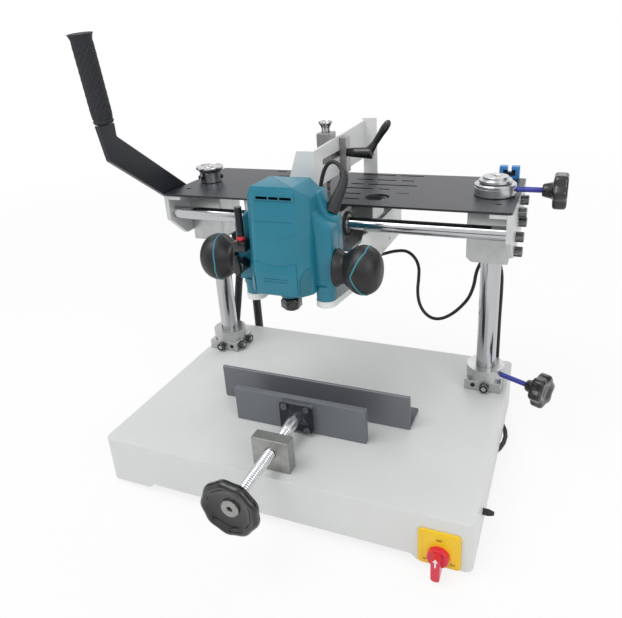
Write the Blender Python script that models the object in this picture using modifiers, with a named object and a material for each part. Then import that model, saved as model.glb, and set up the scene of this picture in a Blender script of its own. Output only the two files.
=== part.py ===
"""Duplicating router: a plunge router on a two-way carriage copies a slotted template, over a screw vice.

The machine stands on +Z up. Its operator stands in front, on the -Y side, with +X on the right hand.
Below, heights count from the bench, depths from the base's front wall and widths from the base's middle.
Everything hangs on one empty, which moves that working point to the middle of the machine's footprint.
"""

import math

import bmesh
import bpy
import numpy as np
from mathutils import Matrix, Vector

MM = 0.001
FULL_TURN = 2 * math.pi

# Clearances, overlaps of joined shapes, and small edges
GAP = 0.3 * MM
RUN_GAP = 0.5 * MM
LAP = 1 * MM
OVERRUN = 20 * MM
EDGE = 1 * MM
SOFT_EDGE = 3 * MM
MERGE = 0.01 * MM

# Base pan
BASE_WIDTH = 540 * MM
BASE_DEPTH = 393 * MM
BASE_TOP = 81 * MM
BASE_WALL = 3 * MM
BASE_CORNER = 9 * MM
BASE_EDGE = 5 * MM
BASE_RETURN = 40 * MM
SKIRT_BOTTOM = 8 * MM
SKIRT_RAISE = 7 * MM
SKIRT_TAB = 68 * MM
SKIRT_SLOPE = 8 * MM
FOOT_RADIUS = 9 * MM
FOOT_INSET = 22 * MM

# Rotary switch on the front wall and rubber nub on the right wall
SWITCH_INSET = 40 * MM
SWITCH_WIDTH = 52 * MM
SWITCH_HEIGHT = 52 * MM
SWITCH_THICK = 3 * MM
SWITCH_CORNER = 4 * MM
SWITCH_RISE = 2 * MM
SWITCH_BODY_SIDE = 44 * MM
SWITCH_BODY_DEPTH = 39 * MM
SWITCH_GLAND_RADIUS = 8 * MM
SWITCH_GLAND_TIP = 4.5 * MM
SWITCH_GLAND_LENGTH = 30 * MM
KNOB_RISE = 18 * MM
KNOB_RADIUS = 13.5 * MM
KNOB_THICK = 8 * MM
KNOB_GRIP_WIDTH = 11 * MM
KNOB_GRIP_UP = 12 * MM
KNOB_GRIP_DOWN = 22 * MM
KNOB_GRIP_RISE = 13 * MM
NUB_Y = 75 * MM
NUB_Z = 38 * MM
NUB_RADIUS = 4.5 * MM
NUB_TIP_RADIUS = 2.5 * MM
NUB_LENGTH = 14 * MM

# Columns and their foot clamps
COLUMN_INSET_X = 35 * MM
COLUMN_INSET_Y = 78 * MM
COLUMN_RADIUS = 15 * MM
CLAMP_SIDE = 56 * MM
CLAMP_BLOCK = 17 * MM
CLAMP_COLLAR = 18 * MM
COLLAR_RADIUS = 29 * MM
CLAMP_SCREW_RADIUS = 7 * MM
CLAMP_SCREW_HEAD = 8 * MM
CLAMP_SCREW_OFFSET = 3 * MM
CLAMP_SCREW_PITCH = 26 * MM

# Column caps and the collar that locks the head
CAP_NECK_RADIUS = 18 * MM
CAP_NECK_HEIGHT = 17 * MM
CAP_DISC_RADIUS = 23 * MM
CAP_DISC_THICK = 9 * MM
CAP_DISC_RIM = 4 * MM
CAP_EYE_RADIUS = 4 * MM
CAP_EYE_DEPTH = 5 * MM
LOCK_COLLAR_HEIGHT = 17 * MM

# Star knobs on studs
STUD_RADIUS = 4 * MM
LOWER_STUD = 44 * MM
UPPER_STUD = 34 * MM
STAR_HUB_TIP = 9 * MM
STAR_HUB_RADIUS = 12.5 * MM
STAR_HUB_LENGTH = 14 * MM
STAR_RADIUS = 26 * MM
STAR_DIP = 4 * MM
STAR_THICK = 19 * MM
STAR_LOBES = 6
STAR_STEPS = 48
STAR_EDGE = 2.5 * MM
LOWER_KNOB_TURN = math.radians(-25)
UPPER_KNOB_TURN = 0

# Head: template plate, end plates, column blocks and guide rods
PLATE_INSET = 1 * MM
PLATE_LEAD = 89 * MM
PLATE_DEPTH = 191 * MM
PLATE_TOP = 393 * MM
PLATE_THICK = 3 * MM
PLATE_CORNER = 4 * MM
PLATE_COLUMN_CLEAR = 1.5 * MM
PLATE_SCREW_RADIUS = 4 * MM
PLATE_SCREW_INSET_X = 22 * MM
PLATE_SCREW_INSET_Y = 38 * MM
END_THICK = 8 * MM
END_OVERHANG = 1 * MM
END_DEPTH = 178 * MM
END_DROP = 73 * MM
END_CHAMFER = 39 * MM
END_CHAMFER_RISE = 34 * MM
END_FLANGE = 22 * MM
END_FLANGE_THICK = 6 * MM
END_SCREW_RADIUS = 7 * MM
END_SCREW_HEAD = 11 * MM
HEAD_BLOCK_WIDTH = 59 * MM
HEAD_BLOCK_DEPTH = 64 * MM
HEAD_BLOCK_DROP = 94 * MM
HEAD_BLOCK_CHAMFER = 7 * MM
ROD_RADIUS = 10 * MM
ROD_DROP = 34 * MM
ROD_SPREAD = 145 * MM
CLIP_WIDTH = 30 * MM
CLIP_DEPTH = 12 * MM
CLIP_HEIGHT = 20 * MM
CLIP_INSET = 10 * MM
CORD_LUG_WIDTH = 8 * MM
CORD_LUG_DEPTH = 14 * MM
CORD_LUG_DROP = 18 * MM
CORD_LUG_BORE_DROP = 11 * MM
CORD_EYE_RADIUS = 5 * MM

# Slots through the template plate: row as a share of its depth, ends as shares of its half width
SLOT_WIDTH = 5 * MM
SLOT_ROW_SHARES = (
    (0.937, ((0.03, 0.245), (0.268, 0.416), (-0.57, -0.5))),
    (0.764, ((0.03, 0.134), (0.156, 0.279), (0.309, 0.387), (-0.5, -0.41))),
    (0.607, ((0.03, 0.115), (0.134, 0.431))),
    (0.471, ((0.03, 0.197), (0.23, 0.297))),
    (0.304, ((0.03, 0.164),)),
    (0.157, ((0.03, 0.19),)),
)
FINE_SLOT_SHARES = (0.372, 0.353, 0.428)
FINE_SLOT_WIDTH = 2.5 * MM
WINDOW_RADIUS = 18 * MM
WINDOW_X = 74 * MM
WINDOW_INSET = 44 * MM

# Hand lever, whose shaft runs through the left end plate
LEVER_DROP = 38 * MM
LEVER_STANDOFF = 3 * MM
LEVER_THICK = 8 * MM
LEVER_WIDTH = 39 * MM
LEVER_HUB_RADIUS = 24 * MM
LEVER_REACH = 220 * MM
LEVER_SLOPE = math.radians(35.4)
LEVER_NECK_WIDTH = 33 * MM
LEVER_NECK_RISE = 162 * MM
LEVER_NECK_LEAD = 184.5 * MM
LEVER_BEND = 6 * MM
LEVER_SHAFT_RADIUS = 8 * MM
LEVER_SHAFT_DEPTH = 8 * MM
GRIP_LENGTH = 117 * MM
GRIP_RADIUS = 14.5 * MM
GRIP_END_RADIUS = 17 * MM
GRIP_FLARE = 14 * MM
GRIP_ROOT = 5 * MM
GRIP_LEAN = math.radians(6.9)

# Vice
FENCE_SETBACK = 27 * MM
FENCE_WIDTH = 306 * MM
FENCE_HEIGHT = 55 * MM
FENCE_DEPTH = 51 * MM
FENCE_THICK = 5 * MM
JAW_LEAD = 50 * MM
JAW_WIDTH = 206 * MM
JAW_HEIGHT = 54 * MM
JAW_THICK = 10 * MM
FLANGE_WIDTH = 52 * MM
FLANGE_HEIGHT = 47 * MM
FLANGE_THICK = 7 * MM
FLANGE_CORNER = 5 * MM
FLANGE_SCREW_PITCH = 34 * MM
FLANGE_SCREW_RADIUS = 5 * MM
FLANGE_SCREW_HEAD = 4 * MM
NUT_WIDTH = 54 * MM
NUT_HEIGHT = 48 * MM
NUT_FRONT_SHARE = 0.1333
NUT_THICK = 19 * MM
SCREW_RISE = 27.7 * MM
SCREW_RADIUS = 8 * MM
SCREW_HUB_RADIUS = 9 * MM
SCREW_HUB_SHARE = 0.6
SCREW_HUB_CONE = 2 * MM
WHEEL_FRONT = -97 * MM
WHEEL_RADIUS = 39.5 * MM
WHEEL_THICK = 12 * MM
WHEEL_EDGE = 4 * MM
WHEEL_LOBES = 9
WHEEL_STEPS = 54
WHEEL_DIP = 1.8 * MM
WHEEL_DISH_RADIUS = 31 * MM
WHEEL_DISH = 7 * MM
WHEEL_HUB_RADIUS = 12 * MM
WHEEL_HUB_SINK = 4 * MM
WHEEL_HUB_LENGTH = 21 * MM
WHEEL_EYE_RADIUS = 4 * MM
WHEEL_EYE_DEPTH = 12 * MM

# Gas strut behind the base, and the conduit behind the left column
STRUT_INSET = 12 * MM
STRUT_BEHIND = 10 * MM
STRUT_RADIUS = 8 * MM
STRUT_ROD_RADIUS = 4 * MM
STRUT_BOTTOM = 20 * MM
STRUT_LENGTH = 185 * MM
STRUT_FLOOR = 5 * MM
STRUT_ENGAGED = 120 * MM
STRUT_LUG_HEIGHT = 30 * MM
CONDUIT_RADIUS = 7 * MM
CONDUIT_STEP = 16 * MM

# Carriage that runs along the guide rods
ROUTER_X = -7 * MM
ROUTER_LEAD = 187 * MM
BEARING_DEPTH = 45 * MM
BEARING_HEIGHT = 46 * MM
FRONT_BEARING_LEFT = -50 * MM
FRONT_BEARING_RIGHT = 36 * MM
REAR_BEARING_LEFT = -64 * MM
REAR_BEARING_RIGHT = 58 * MM
SEAL_RADIUS = 17.5 * MM
SEAL_THICK = 3 * MM
FOOT_PLATE_LEFT = 24 * MM
FOOT_PLATE_RIGHT = 58 * MM
FOOT_PLATE_LEAD = 117 * MM
FOOT_PLATE_DEPTH = 80 * MM
FOOT_PLATE_THICK = 4 * MM
CROSS_ROD_RADIUS = 8 * MM
CROSS_ROD_SPREAD = 60 * MM

# Cross slide with the white bracket under the router
SLIDE_DEPTH = 56 * MM
SLIDE_DROP = 21 * MM
SLIDE_HEIGHT = 37 * MM
BRACKET_DROP = 112 * MM
BRACKET_THICK = 9 * MM
BRACKET_LOBE = 14 * MM
BRACKET_FLOOR_REACH = 104 * MM
BRACKET_NOTCH_REACH = 77 * MM
CHEEK_SPREAD = 146 * MM
CHEEK_THICK = 4 * MM
CHEEK_SETBACK = 44 * MM
CHEEK_TOP_DROP = 48 * MM
CHEEK_RAMP = 66 * MM
CHEEK_LOW_RISE = 7 * MM
CHEEK_HOLE_RADIUS = 4 * MM
CHEEK_HOLE_SETBACK = 43 * MM
CHEEK_HOLE_RISE = 19 * MM
REAR_WALL_SETBACK = 113 * MM
REAR_WALL_THICK = 3 * MM
REAR_WALL_DROP = 7 * MM

# White bridge over the template plate
BRIDGE_X = 2 * MM
BRIDGE_THICK = 3 * MM
BRIDGE_LEAD = 108 * MM
BRIDGE_HEIGHT = 77 * MM
BRIDGE_RISE = 9 * MM
BRIDGE_EAR = 4 * MM
BRIDGE_ARCH = 25 * MM
BRIDGE_LEG_TOP_WIDTH = 26 * MM
BRIDGE_LEG_WIDTH = 40 * MM
BRIDGE_LEG_SLOPE = 40 * MM
BRIDGE_REAR_WIDTH = 24 * MM
BRIDGE_REAR_DROP = 48 * MM
GUIDE_SLOT_LEAD = 78 * MM
GUIDE_SLOT_LENGTH = 95 * MM
GUIDE_SLOT_RISE = 50 * MM
GUIDE_SLOT_HEIGHT = 10 * MM

# Stylus, its holder and the clamp that locks it in the bridge's slot
STYLUS_LEAD = 25 * MM
CLAMP_BAR_WIDTH = 10 * MM
CLAMP_BAR_DEPTH = 20 * MM
CLAMP_BAR_RISE = 79 * MM
CLAMP_BAR_HEIGHT = 54 * MM
CLAMP_BOLT_RADIUS = 4 * MM
RATCHET_HUB_RADIUS = 9 * MM
RATCHET_HUB_ROOT = 6.5 * MM
RATCHET_HUB_LENGTH = 39 * MM
RATCHET_REACH = 58 * MM
RATCHET_TILT = math.radians(35)
RATCHET_ROOT_RADIUS = 7 * MM
RATCHET_TIP_RADIUS = 5 * MM
HOLDER_WIDTH = 22 * MM
HOLDER_DEPTH = 24 * MM
HOLDER_RISE = 89 * MM
HOLDER_HEIGHT = 62 * MM
HOLDER_WING_RISE = 71 * MM
HOLDER_WING_HEIGHT = 32 * MM
STYLUS_RADIUS = 4.5 * MM
STYLUS_TIP_RADIUS = 2.5 * MM
STYLUS_TIP = 12 * MM
STYLUS_POINT_RISE = 1 * MM
STYLUS_NECK_RADIUS = 6.5 * MM
STYLUS_NECK = 7 * MM
STYLUS_HEAD_RADIUS = 10.5 * MM
STYLUS_HEAD_RIM = 3 * MM
STYLUS_HEAD_HEIGHT = 16 * MM

# Router housing
HOUSING_RISE = 13 * MM
HOUSING_HEIGHT = 149 * MM
HOUSING_LEAD = 38 * MM
HOUSING_DEPTH = 84 * MM
HOUSING_PANEL = 63 * MM
HOUSING_WIDTH = 91 * MM
HOUSING_BEVEL = 17 * MM
HOUSING_CAP = 6 * MM
HOUSING_CAP_SHARE = 0.84
SHOULDER_SHARE = 0.6738
SHOULDER_LIFT = 8.5 * MM
SHOULDER_REACH = 69 * MM
SHOULDER_LEAD = 13 * MM
SHOULDER_DEPTH = 50 * MM
SHOULDER_SLOPE = 4 * MM
SLEEVE_SPACING = 106 * MM
SLEEVE_RADIUS = 13.5 * MM
PLUNGE_RADIUS = 7 * MM
PLUNGE_HEIGHT = 90 * MM
SKIRT_RADIUS = 20 * MM
SKIRT_TIP_RADIUS = 15 * MM
SKIRT_DROP = 12 * MM
COLLET_RADIUS = 12 * MM
COLLET_NECK_RADIUS = 7 * MM
COLLET_NECK = 3 * MM
COLLET_HEIGHT = 22 * MM
COLLET_CHAMFER = 3 * MM
PLUNGE_TRAVEL = 35 * MM

# Router handles, depth rod, lock knob and cord boot
HANDLE_RISE = 33 * MM
HANDLE_REACH = 104 * MM
HANDLE_HALF_WIDTH = 27 * MM
HANDLE_HALF_HEIGHT = 33 * MM
HANDLE_HALF_DEPTH = 30 * MM
HANDLE_ROOT_RADIUS = 24 * MM
HANDLE_NECK_RADIUS = 17 * MM
ROD_BOSS_REACH = 52 * MM
ROD_BOSS_WIDTH = 16 * MM
ROD_BOSS_DEPTH = 17 * MM
ROD_BOSS_RISE = 54 * MM
ROD_BOSS_HEIGHT = 15 * MM
DEPTH_ROD_RADIUS = 5 * MM
DEPTH_ROD_INSET = 9 * MM
DEPTH_ROD_DROP = 2 * MM
DEPTH_ROD_LENGTH = 62 * MM
DEPTH_RING_RADIUS = 6.5 * MM
DEPTH_RING_HEIGHT = 6 * MM
LOCK_REACH = 59 * MM
LOCK_RADIUS = 9 * MM
LOCK_LENGTH = 20 * MM
LOCK_WING_WIDTH = 11 * MM
LOCK_WING_REACH = 17 * MM
LOCK_WING_BACK = 9 * MM
LOCK_WING_THICK = 7 * MM
BOOT_REACH = 56 * MM
BOOT_SETBACK = 22 * MM
BOOT_ROOT_RADIUS = 9.5 * MM
BOOT_TIP_RADIUS = 5 * MM
BOOT_STEP = 5 * MM

# Cords
ROUTER_CORD_RADIUS = 2.75 * MM
ROUTER_CORD_STEP = 14 * MM
MAINS_RADIUS = 3.5 * MM
MAINS_STEP = 17 * MM
FLOOR_CLEAR = 0.4 * MM
COIL_INSET = 118.5 * MM
COIL_BEHIND = 63 * MM
COIL_RADIUS = 48.5 * MM
COIL_PITCH = 7.6 * MM
COIL_TURNS = 5 + 1 / 3
COIL_LOOP_STEPS = 24
COIL_CLIMB_SHARE = 0.5
COIL_TAIL = 46 * MM
PLUG_WIDTH = 32 * MM
PLUG_LENGTH = 38 * MM
PLUG_HEIGHT = 22 * MM
PLUG_COLLAR_RADIUS = 7.5 * MM
PLUG_COLLAR_LENGTH = 12 * MM
PLUG_PIN_RADIUS = 2.6 * MM
PLUG_PIN_LENGTH = 18 * MM
PLUG_PIN_SPREAD = 19 * MM

ROUND_STEPS = 40
SMALL_STEPS = 20

# Worked out from the sizes above: the base, the columns and the head that they carry
SEAT = BASE_TOP + GAP
SWITCH_X = BASE_WIDTH / 2 - SWITCH_INSET
COLUMN_X = BASE_WIDTH / 2 - COLUMN_INSET_X
COLUMN_Y = BASE_DEPTH - COLUMN_INSET_Y
BORE = COLUMN_RADIUS + GAP
PLATE_WIDTH = BASE_WIDTH - 2 * PLATE_INSET
PLATE_FRONT = COLUMN_Y - PLATE_LEAD
PLATE_BACK = PLATE_FRONT + PLATE_DEPTH
PLATE_UNDER = PLATE_TOP - PLATE_THICK - GAP
HEAD_TOP = PLATE_TOP + GAP
CAP_SEAT = HEAD_TOP + RUN_GAP + CAP_NECK_HEIGHT
WINDOW_Y = PLATE_FRONT + WINDOW_INSET
ROD_Z = PLATE_TOP - ROD_DROP
FRONT_ROD_Y = COLUMN_Y - ROD_SPREAD / 2
REAR_ROD_Y = COLUMN_Y + ROD_SPREAD / 2
END_INNER = PLATE_WIDTH / 2 + END_OVERHANG - END_THICK
END_OUTER = END_INNER + END_THICK
BLOCK_TOP = PLATE_UNDER - END_FLANGE_THICK - GAP
BLOCK_BOTTOM = HEAD_TOP - HEAD_BLOCK_DROP
LEVER_Z = PLATE_TOP - LEVER_DROP
LEVER_NECK_TOP = LEVER_Z + LEVER_NECK_RISE
LEVER_NECK_Y = COLUMN_Y - LEVER_NECK_LEAD
STRUT_X = STRUT_INSET - COLUMN_X
STRUT_Y = BASE_DEPTH + STRUT_BEHIND
STRUT_TOP = STRUT_BOTTOM + STRUT_LENGTH
LOWER_KNOB_Z = SEAT + CLAMP_BLOCK + CLAMP_COLLAR / 2
UPPER_KNOB_Z = HEAD_TOP + LOCK_COLLAR_HEIGHT / 2

# Worked out: the carriages, the bridge and the stylus
ROUTER_Y = COLUMN_Y - ROUTER_LEAD
FOOT_PLATE_FRONT = COLUMN_Y - FOOT_PLATE_LEAD
SLIDE_TOP = PLATE_TOP - SLIDE_DROP
BRACKET_BOTTOM = PLATE_TOP - BRACKET_DROP
FLOOR_TOP = BRACKET_BOTTOM + BRACKET_THICK
BRACKET_FLOOR_BACK = ROUTER_Y + BRACKET_FLOOR_REACH
BRACKET_NOTCH_BACK = ROUTER_Y + BRACKET_NOTCH_REACH
CHEEK_FRONT = ROUTER_Y + CHEEK_SETBACK
CHEEK_TOP = PLATE_TOP - CHEEK_TOP_DROP
CHEEK_LOW = BRACKET_BOTTOM + CHEEK_LOW_RISE
CHEEK_HOLE = (COLUMN_Y + CHEEK_HOLE_SETBACK, BRACKET_BOTTOM + CHEEK_HOLE_RISE)
REAR_WALL_Y = COLUMN_Y + REAR_WALL_SETBACK
REAR_WALL_TOP = PLATE_TOP - REAR_WALL_DROP
BRIDGE_FRONT = COLUMN_Y - BRIDGE_LEAD
BRIDGE_TOP = PLATE_TOP + BRIDGE_HEIGHT
BRIDGE_BOTTOM = PLATE_TOP + BRIDGE_ARCH
GUIDE_SLOT_FRONT = COLUMN_Y - GUIDE_SLOT_LEAD
GUIDE_SLOT_BOTTOM = PLATE_TOP + GUIDE_SLOT_RISE
STYLUS_Y = COLUMN_Y - STYLUS_LEAD
HOLDER_TOP = PLATE_TOP + HOLDER_RISE

# Worked out: the router, the vice under it and the mains lead's coil
HOUSING_BOTTOM = FLOOR_TOP + HOUSING_RISE
HOUSING_TOP = HOUSING_BOTTOM + HOUSING_HEIGHT
HOUSING_FRONT = ROUTER_Y - HOUSING_LEAD
SHOULDER_TOP = HOUSING_BOTTOM + HOUSING_HEIGHT * SHOULDER_SHARE
SHOULDER_FRONT = ROUTER_Y - SHOULDER_LEAD
SHOULDER_BACK = SHOULDER_FRONT + SHOULDER_DEPTH
HANDLE_Z = HOUSING_BOTTOM + HANDLE_RISE
ROD_BOSS_X = ROUTER_X - ROD_BOSS_REACH
ROD_BOSS_BOTTOM = HOUSING_BOTTOM + ROD_BOSS_RISE
LOCK_X = ROUTER_X - LOCK_REACH
BOOT_FOOT = (ROUTER_X + BOOT_REACH, ROUTER_Y + BOOT_SETBACK, SHOULDER_TOP + GAP)
FENCE_FRONT = ROUTER_Y + FENCE_SETBACK
JAW_FRONT = FENCE_FRONT - JAW_LEAD
NUT_FRONT = JAW_FRONT * NUT_FRONT_SHARE
SCREW_HUB_LENGTH = (JAW_FRONT - NUT_FRONT - NUT_THICK) * SCREW_HUB_SHARE
SCREW_Z = SEAT + SCREW_RISE
COIL_Z = FLOOR_CLEAR + MAINS_RADIUS
COIL_CENTRE = (BASE_WIDTH / 2 - COIL_INSET, BASE_DEPTH + COIL_BEHIND, COIL_Z)

COLOURS = {
    "white_paint": ((0.86, 0.87, 0.86), 0.35, 0.0),
    "pale_rubber": ((0.72, 0.73, 0.74), 0.7, 0.0),
    "yellow_plastic": ((0.95, 0.75, 0.05), 0.4, 0.0),
    "red_plastic": ((0.78, 0.04, 0.08), 0.4, 0.0),
    "black_rubber": ((0.02, 0.02, 0.02), 0.7, 0.0),
    "black_plastic": ((0.03, 0.03, 0.035), 0.45, 0.0),
    "black_metal": ((0.04, 0.04, 0.045), 0.45, 0.6),
    "chrome": ((0.8, 0.8, 0.82), 0.12, 1.0),
    "aluminium": ((0.78, 0.78, 0.79), 0.35, 1.0),
    "dark_steel": ((0.12, 0.125, 0.13), 0.45, 0.8),
    "grey_steel": ((0.2, 0.21, 0.22), 0.45, 0.7),
    "teal_plastic": ((0.02, 0.33, 0.4), 0.4, 0.0),
    "blue_plastic": ((0.1, 0.4, 0.75), 0.45, 0.0),
}


def clear_scene():
    """Remove whatever the scene holds."""
    for obj in list(bpy.data.objects):
        bpy.data.objects.remove(obj, do_unlink=True)


def make_collection(name, hidden=False):
    """A collection under the scene's own."""
    collection = bpy.data.collections.new(name)
    bpy.context.scene.collection.children.link(collection)
    collection.hide_render = hidden
    return collection


clear_scene()
PARTS = make_collection("duplicating_router")
CUTTERS = make_collection("cutters", hidden=True)
MACHINE = bpy.data.objects.new("machine_frame", None)
PARTS.objects.link(MACHINE)


def make_material(name):
    """A Principled material from the table of colours."""
    found = bpy.data.materials.get(name)
    if found:
        return found
    colour, roughness, metallic = COLOURS[name]
    material = bpy.data.materials.new(name)
    material.use_nodes = True
    shader = material.node_tree.nodes["Principled BSDF"]
    shader.inputs["Base Color"].default_value = (*colour, 1.0)
    shader.inputs["Roughness"].default_value = roughness
    shader.inputs["Metallic"].default_value = metallic
    return material


def add_object(name, data, place, material=None):
    """An object under the machine's frame: a part, or a hidden helper where it has no material."""
    obj = bpy.data.objects.new(name, data)
    obj.parent = MACHINE
    obj.matrix_local = place
    if material:
        PARTS.objects.link(obj)
        data.materials.append(make_material(material))
        return obj
    CUTTERS.objects.link(obj)
    obj.hide_render = True
    obj.display_type = "WIRE"
    return obj


def mesh_from(name, shape):
    """The finished mesh of a shape, which is freed."""
    mesh = bpy.data.meshes.new(name)
    shape.to_mesh(mesh)
    shape.free()
    return mesh


def smooth(obj):
    """Shade round faces smooth and keep the corners sharp."""
    obj.data.shade_smooth()
    obj.data.set_sharp_from_angle(angle=math.radians(35))
    return obj


def bevel(obj, width, segments=2):
    """Round the sharp edges of an object."""
    modifier = obj.modifiers.new("Bevel", "BEVEL")
    modifier.width = width
    modifier.segments = segments
    modifier.limit_method = "ANGLE"
    modifier.angle_limit = math.radians(40)
    return obj


def combine(obj, other, operation):
    """Add a Boolean with another object."""
    modifier = obj.modifiers.new(other.name, "BOOLEAN")
    modifier.operation = operation
    modifier.object = other
    return obj


def cut(obj, cutter):
    """Cut an object with another."""
    return combine(obj, cutter, "DIFFERENCE")


def join(obj, other):
    """Join another object's shape to an object."""
    return combine(obj, other, "UNION")


def look_along(start, direction):
    """The frame at a point whose Z axis runs along a direction."""
    turn = Vector(direction).to_track_quat("Z", "Y").to_matrix().to_4x4()
    return Matrix.Translation(start) @ turn


def add_box(name, low, high, material=None, pivot=None):
    """A box between two corners. Its origin is its middle, or the pivot."""
    low, high = Vector(low), Vector(high)
    middle = (low + high) / 2
    origin = middle if pivot is None else Vector(pivot)
    shape = bmesh.new()
    bmesh.ops.create_cube(shape, size=1)
    bmesh.ops.scale(shape, vec=high - low, verts=shape.verts)
    bmesh.ops.translate(shape, vec=middle - origin, verts=shape.verts)
    return add_object(name, mesh_from(name, shape), Matrix.Translation(origin), material)


def add_rod(name, start, end, radius, material=None, end_radius=None, steps=ROUND_STEPS):
    """A cylinder or a cone between two points. Its origin is the first."""
    start, end = Vector(start), Vector(end)
    length = (end - start).length
    tip = radius if end_radius is None else end_radius
    shape = bmesh.new()
    bmesh.ops.create_cone(shape, cap_ends=True, segments=steps, radius1=radius, radius2=tip, depth=length)
    bmesh.ops.translate(shape, vec=(0, 0, length / 2), verts=shape.verts)
    return smooth(add_object(name, mesh_from(name, shape), look_along(start, end - start), material))


def add_turned(name, profile, place, direction=(0, 0, 1), material=None, steps=ROUND_STEPS, closed=False):
    """A turned solid from radius and height pairs, down its outer side from top to bottom."""
    shape = bmesh.new()
    points = [shape.verts.new((radius, 0, height)) for radius, height in profile]
    for first, second in zip(points, points[1:]):
        shape.edges.new((first, second))
    if closed:
        shape.edges.new((points[-1], points[0]))
    obj = add_object(name, mesh_from(name, shape), look_along(place, direction), material)
    screw = obj.modifiers.new("Screw", "SCREW")
    screw.steps = steps
    screw.render_steps = steps
    screw.use_merge_vertices = True
    screw.merge_threshold = MERGE
    screw.use_smooth_shade = True
    return obj


def arc(centre, radius, start, end, steps):
    """Points along an arc between two angles in degrees."""
    angles = np.radians(np.linspace(start, end, steps + 1))
    return [(centre[0] + radius * math.cos(a), centre[1] + radius * math.sin(a)) for a in angles]


def circle(centre, radius, steps=SMALL_STEPS):
    """Points round a circle."""
    return arc(centre, radius, 0, 360, steps)[:-1]


def rectangle(low, high):
    """The corners between two opposite ones."""
    return [(low[0], low[1]), (high[0], low[1]), (high[0], high[1]), (low[0], high[1])]


def rounded(points, radius, steps=4):
    """An outline with its corners rounded by one radius, or by one for each corner."""
    radii = radius if isinstance(radius, (list, tuple)) else [radius] * len(points)
    outline = []
    for index, corner in enumerate(points):
        here, size = Vector(corner), radii[index]
        if size == 0:
            outline.append(tuple(here))
            continue
        before = (Vector(points[index - 1]) - here).normalized()
        after = (Vector(points[(index + 1) % len(points)]) - here).normalized()
        half = before.angle(after) / 2
        middle = here + (before + after).normalized() * (size / math.sin(half))
        start = here + before * (size / math.tan(half)) - middle
        end = here + after * (size / math.tan(half)) - middle
        first = math.atan2(start.y, start.x)
        sweep = (math.atan2(end.y, end.x) - first + math.pi) % FULL_TURN - math.pi
        for step in range(steps + 1):
            angle = first + sweep * step / steps
            outline.append((middle.x + size * math.cos(angle), middle.y + size * math.sin(angle)))
    return outline


def lobed(radius, dip, lobes, steps):
    """The outline of a knob with hollows between its lobes."""
    points = []
    for step in range(steps):
        angle = FULL_TURN * step / steps
        reach = radius - dip * (1 - math.cos(lobes * angle)) / 2
        points.append((reach * math.cos(angle), reach * math.sin(angle)))
    return points


# Frames of flat outlines: across and up run along these axes of the machine, and Z is the normal
FLAT = Matrix.Identity(4)
SIDEWAYS = Matrix(((0, 0, 1, 0), (1, 0, 0, 0), (0, 1, 0, 0), (0, 0, 0, 1)))
UPRIGHT = Matrix(((1, 0, 0, 0), (0, 0, -1, 0), (0, 1, 0, 0), (0, 0, 0, 1)))


def add_outline(name, outlines, low, high, frame, material=None, pivot=None):
    """A filled outline with its holes, from one distance along its frame's normal to another."""
    curve = bpy.data.curves.new(name, "CURVE")
    curve.dimensions = "2D"
    curve.fill_mode = "BOTH"
    curve.extrude = (high - low) / 2
    for outline in outlines:
        spline = curve.splines.new("POLY")
        spline.points.add(len(outline) - 1)
        for point, (across, up) in zip(spline.points, outline):
            point.co = (across, up, 0, 1)
        spline.use_cyclic_u = True
    place = frame @ Matrix.Translation((0, 0, (low + high) / 2))
    source = add_object(name + "_outline", curve, place)
    bpy.context.view_layer.update()
    graph = bpy.context.evaluated_depsgraph_get()
    mesh = bpy.data.meshes.new_from_object(source.evaluated_get(graph))
    shape = bmesh.new()
    shape.from_mesh(mesh)
    bmesh.ops.remove_doubles(shape, verts=shape.verts, dist=MERGE)
    bmesh.ops.recalc_face_normals(shape, faces=shape.faces)
    bmesh.ops.transform(shape, matrix=place, verts=shape.verts)
    corners = [vertex.co for vertex in shape.verts]
    middle = sum(corners, Vector()) / len(corners)
    origin = middle if pivot is None else Vector(pivot)
    bmesh.ops.translate(shape, vec=-origin, verts=shape.verts)
    bpy.data.objects.remove(source, do_unlink=True)
    bpy.data.meshes.remove(mesh)
    return smooth(add_object(name, mesh_from(name, shape), Matrix.Translation(origin), material))


def plate_xy(name, outlines, low, high, material=None, pivot=None):
    """A flat piece between two heights."""
    return add_outline(name, outlines, low, high, FLAT, material, pivot)


def plate_yz(name, outlines, left, right, material=None, pivot=None):
    """A flat piece between two widths, outlined in depth and height."""
    return add_outline(name, outlines, left, right, SIDEWAYS, material, pivot)


def plate_xz(name, outlines, front, back, material=None, pivot=None):
    """A flat piece between two depths, outlined in width and height."""
    return add_outline(name, outlines, -back, -front, UPRIGHT, material, pivot)


def add_tube(name, points, radius, material, resolution=2, radii=None):
    """A tube along points with closed ends. Its radius may change from point to point."""
    curve = bpy.data.curves.new(name, "CURVE")
    curve.dimensions = "3D"
    curve.bevel_depth = radius
    curve.bevel_resolution = resolution
    curve.use_fill_caps = True
    start = Vector(points[0])
    spline = curve.splines.new("POLY")
    spline.points.add(len(points) - 1)
    for index, place in enumerate(points):
        spline.points[index].co = (*(Vector(place) - start), 1)
        spline.points[index].radius = radii[index] / radius if radii else 1
    return add_object(name, curve, Matrix.Translation(start), material)


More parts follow.
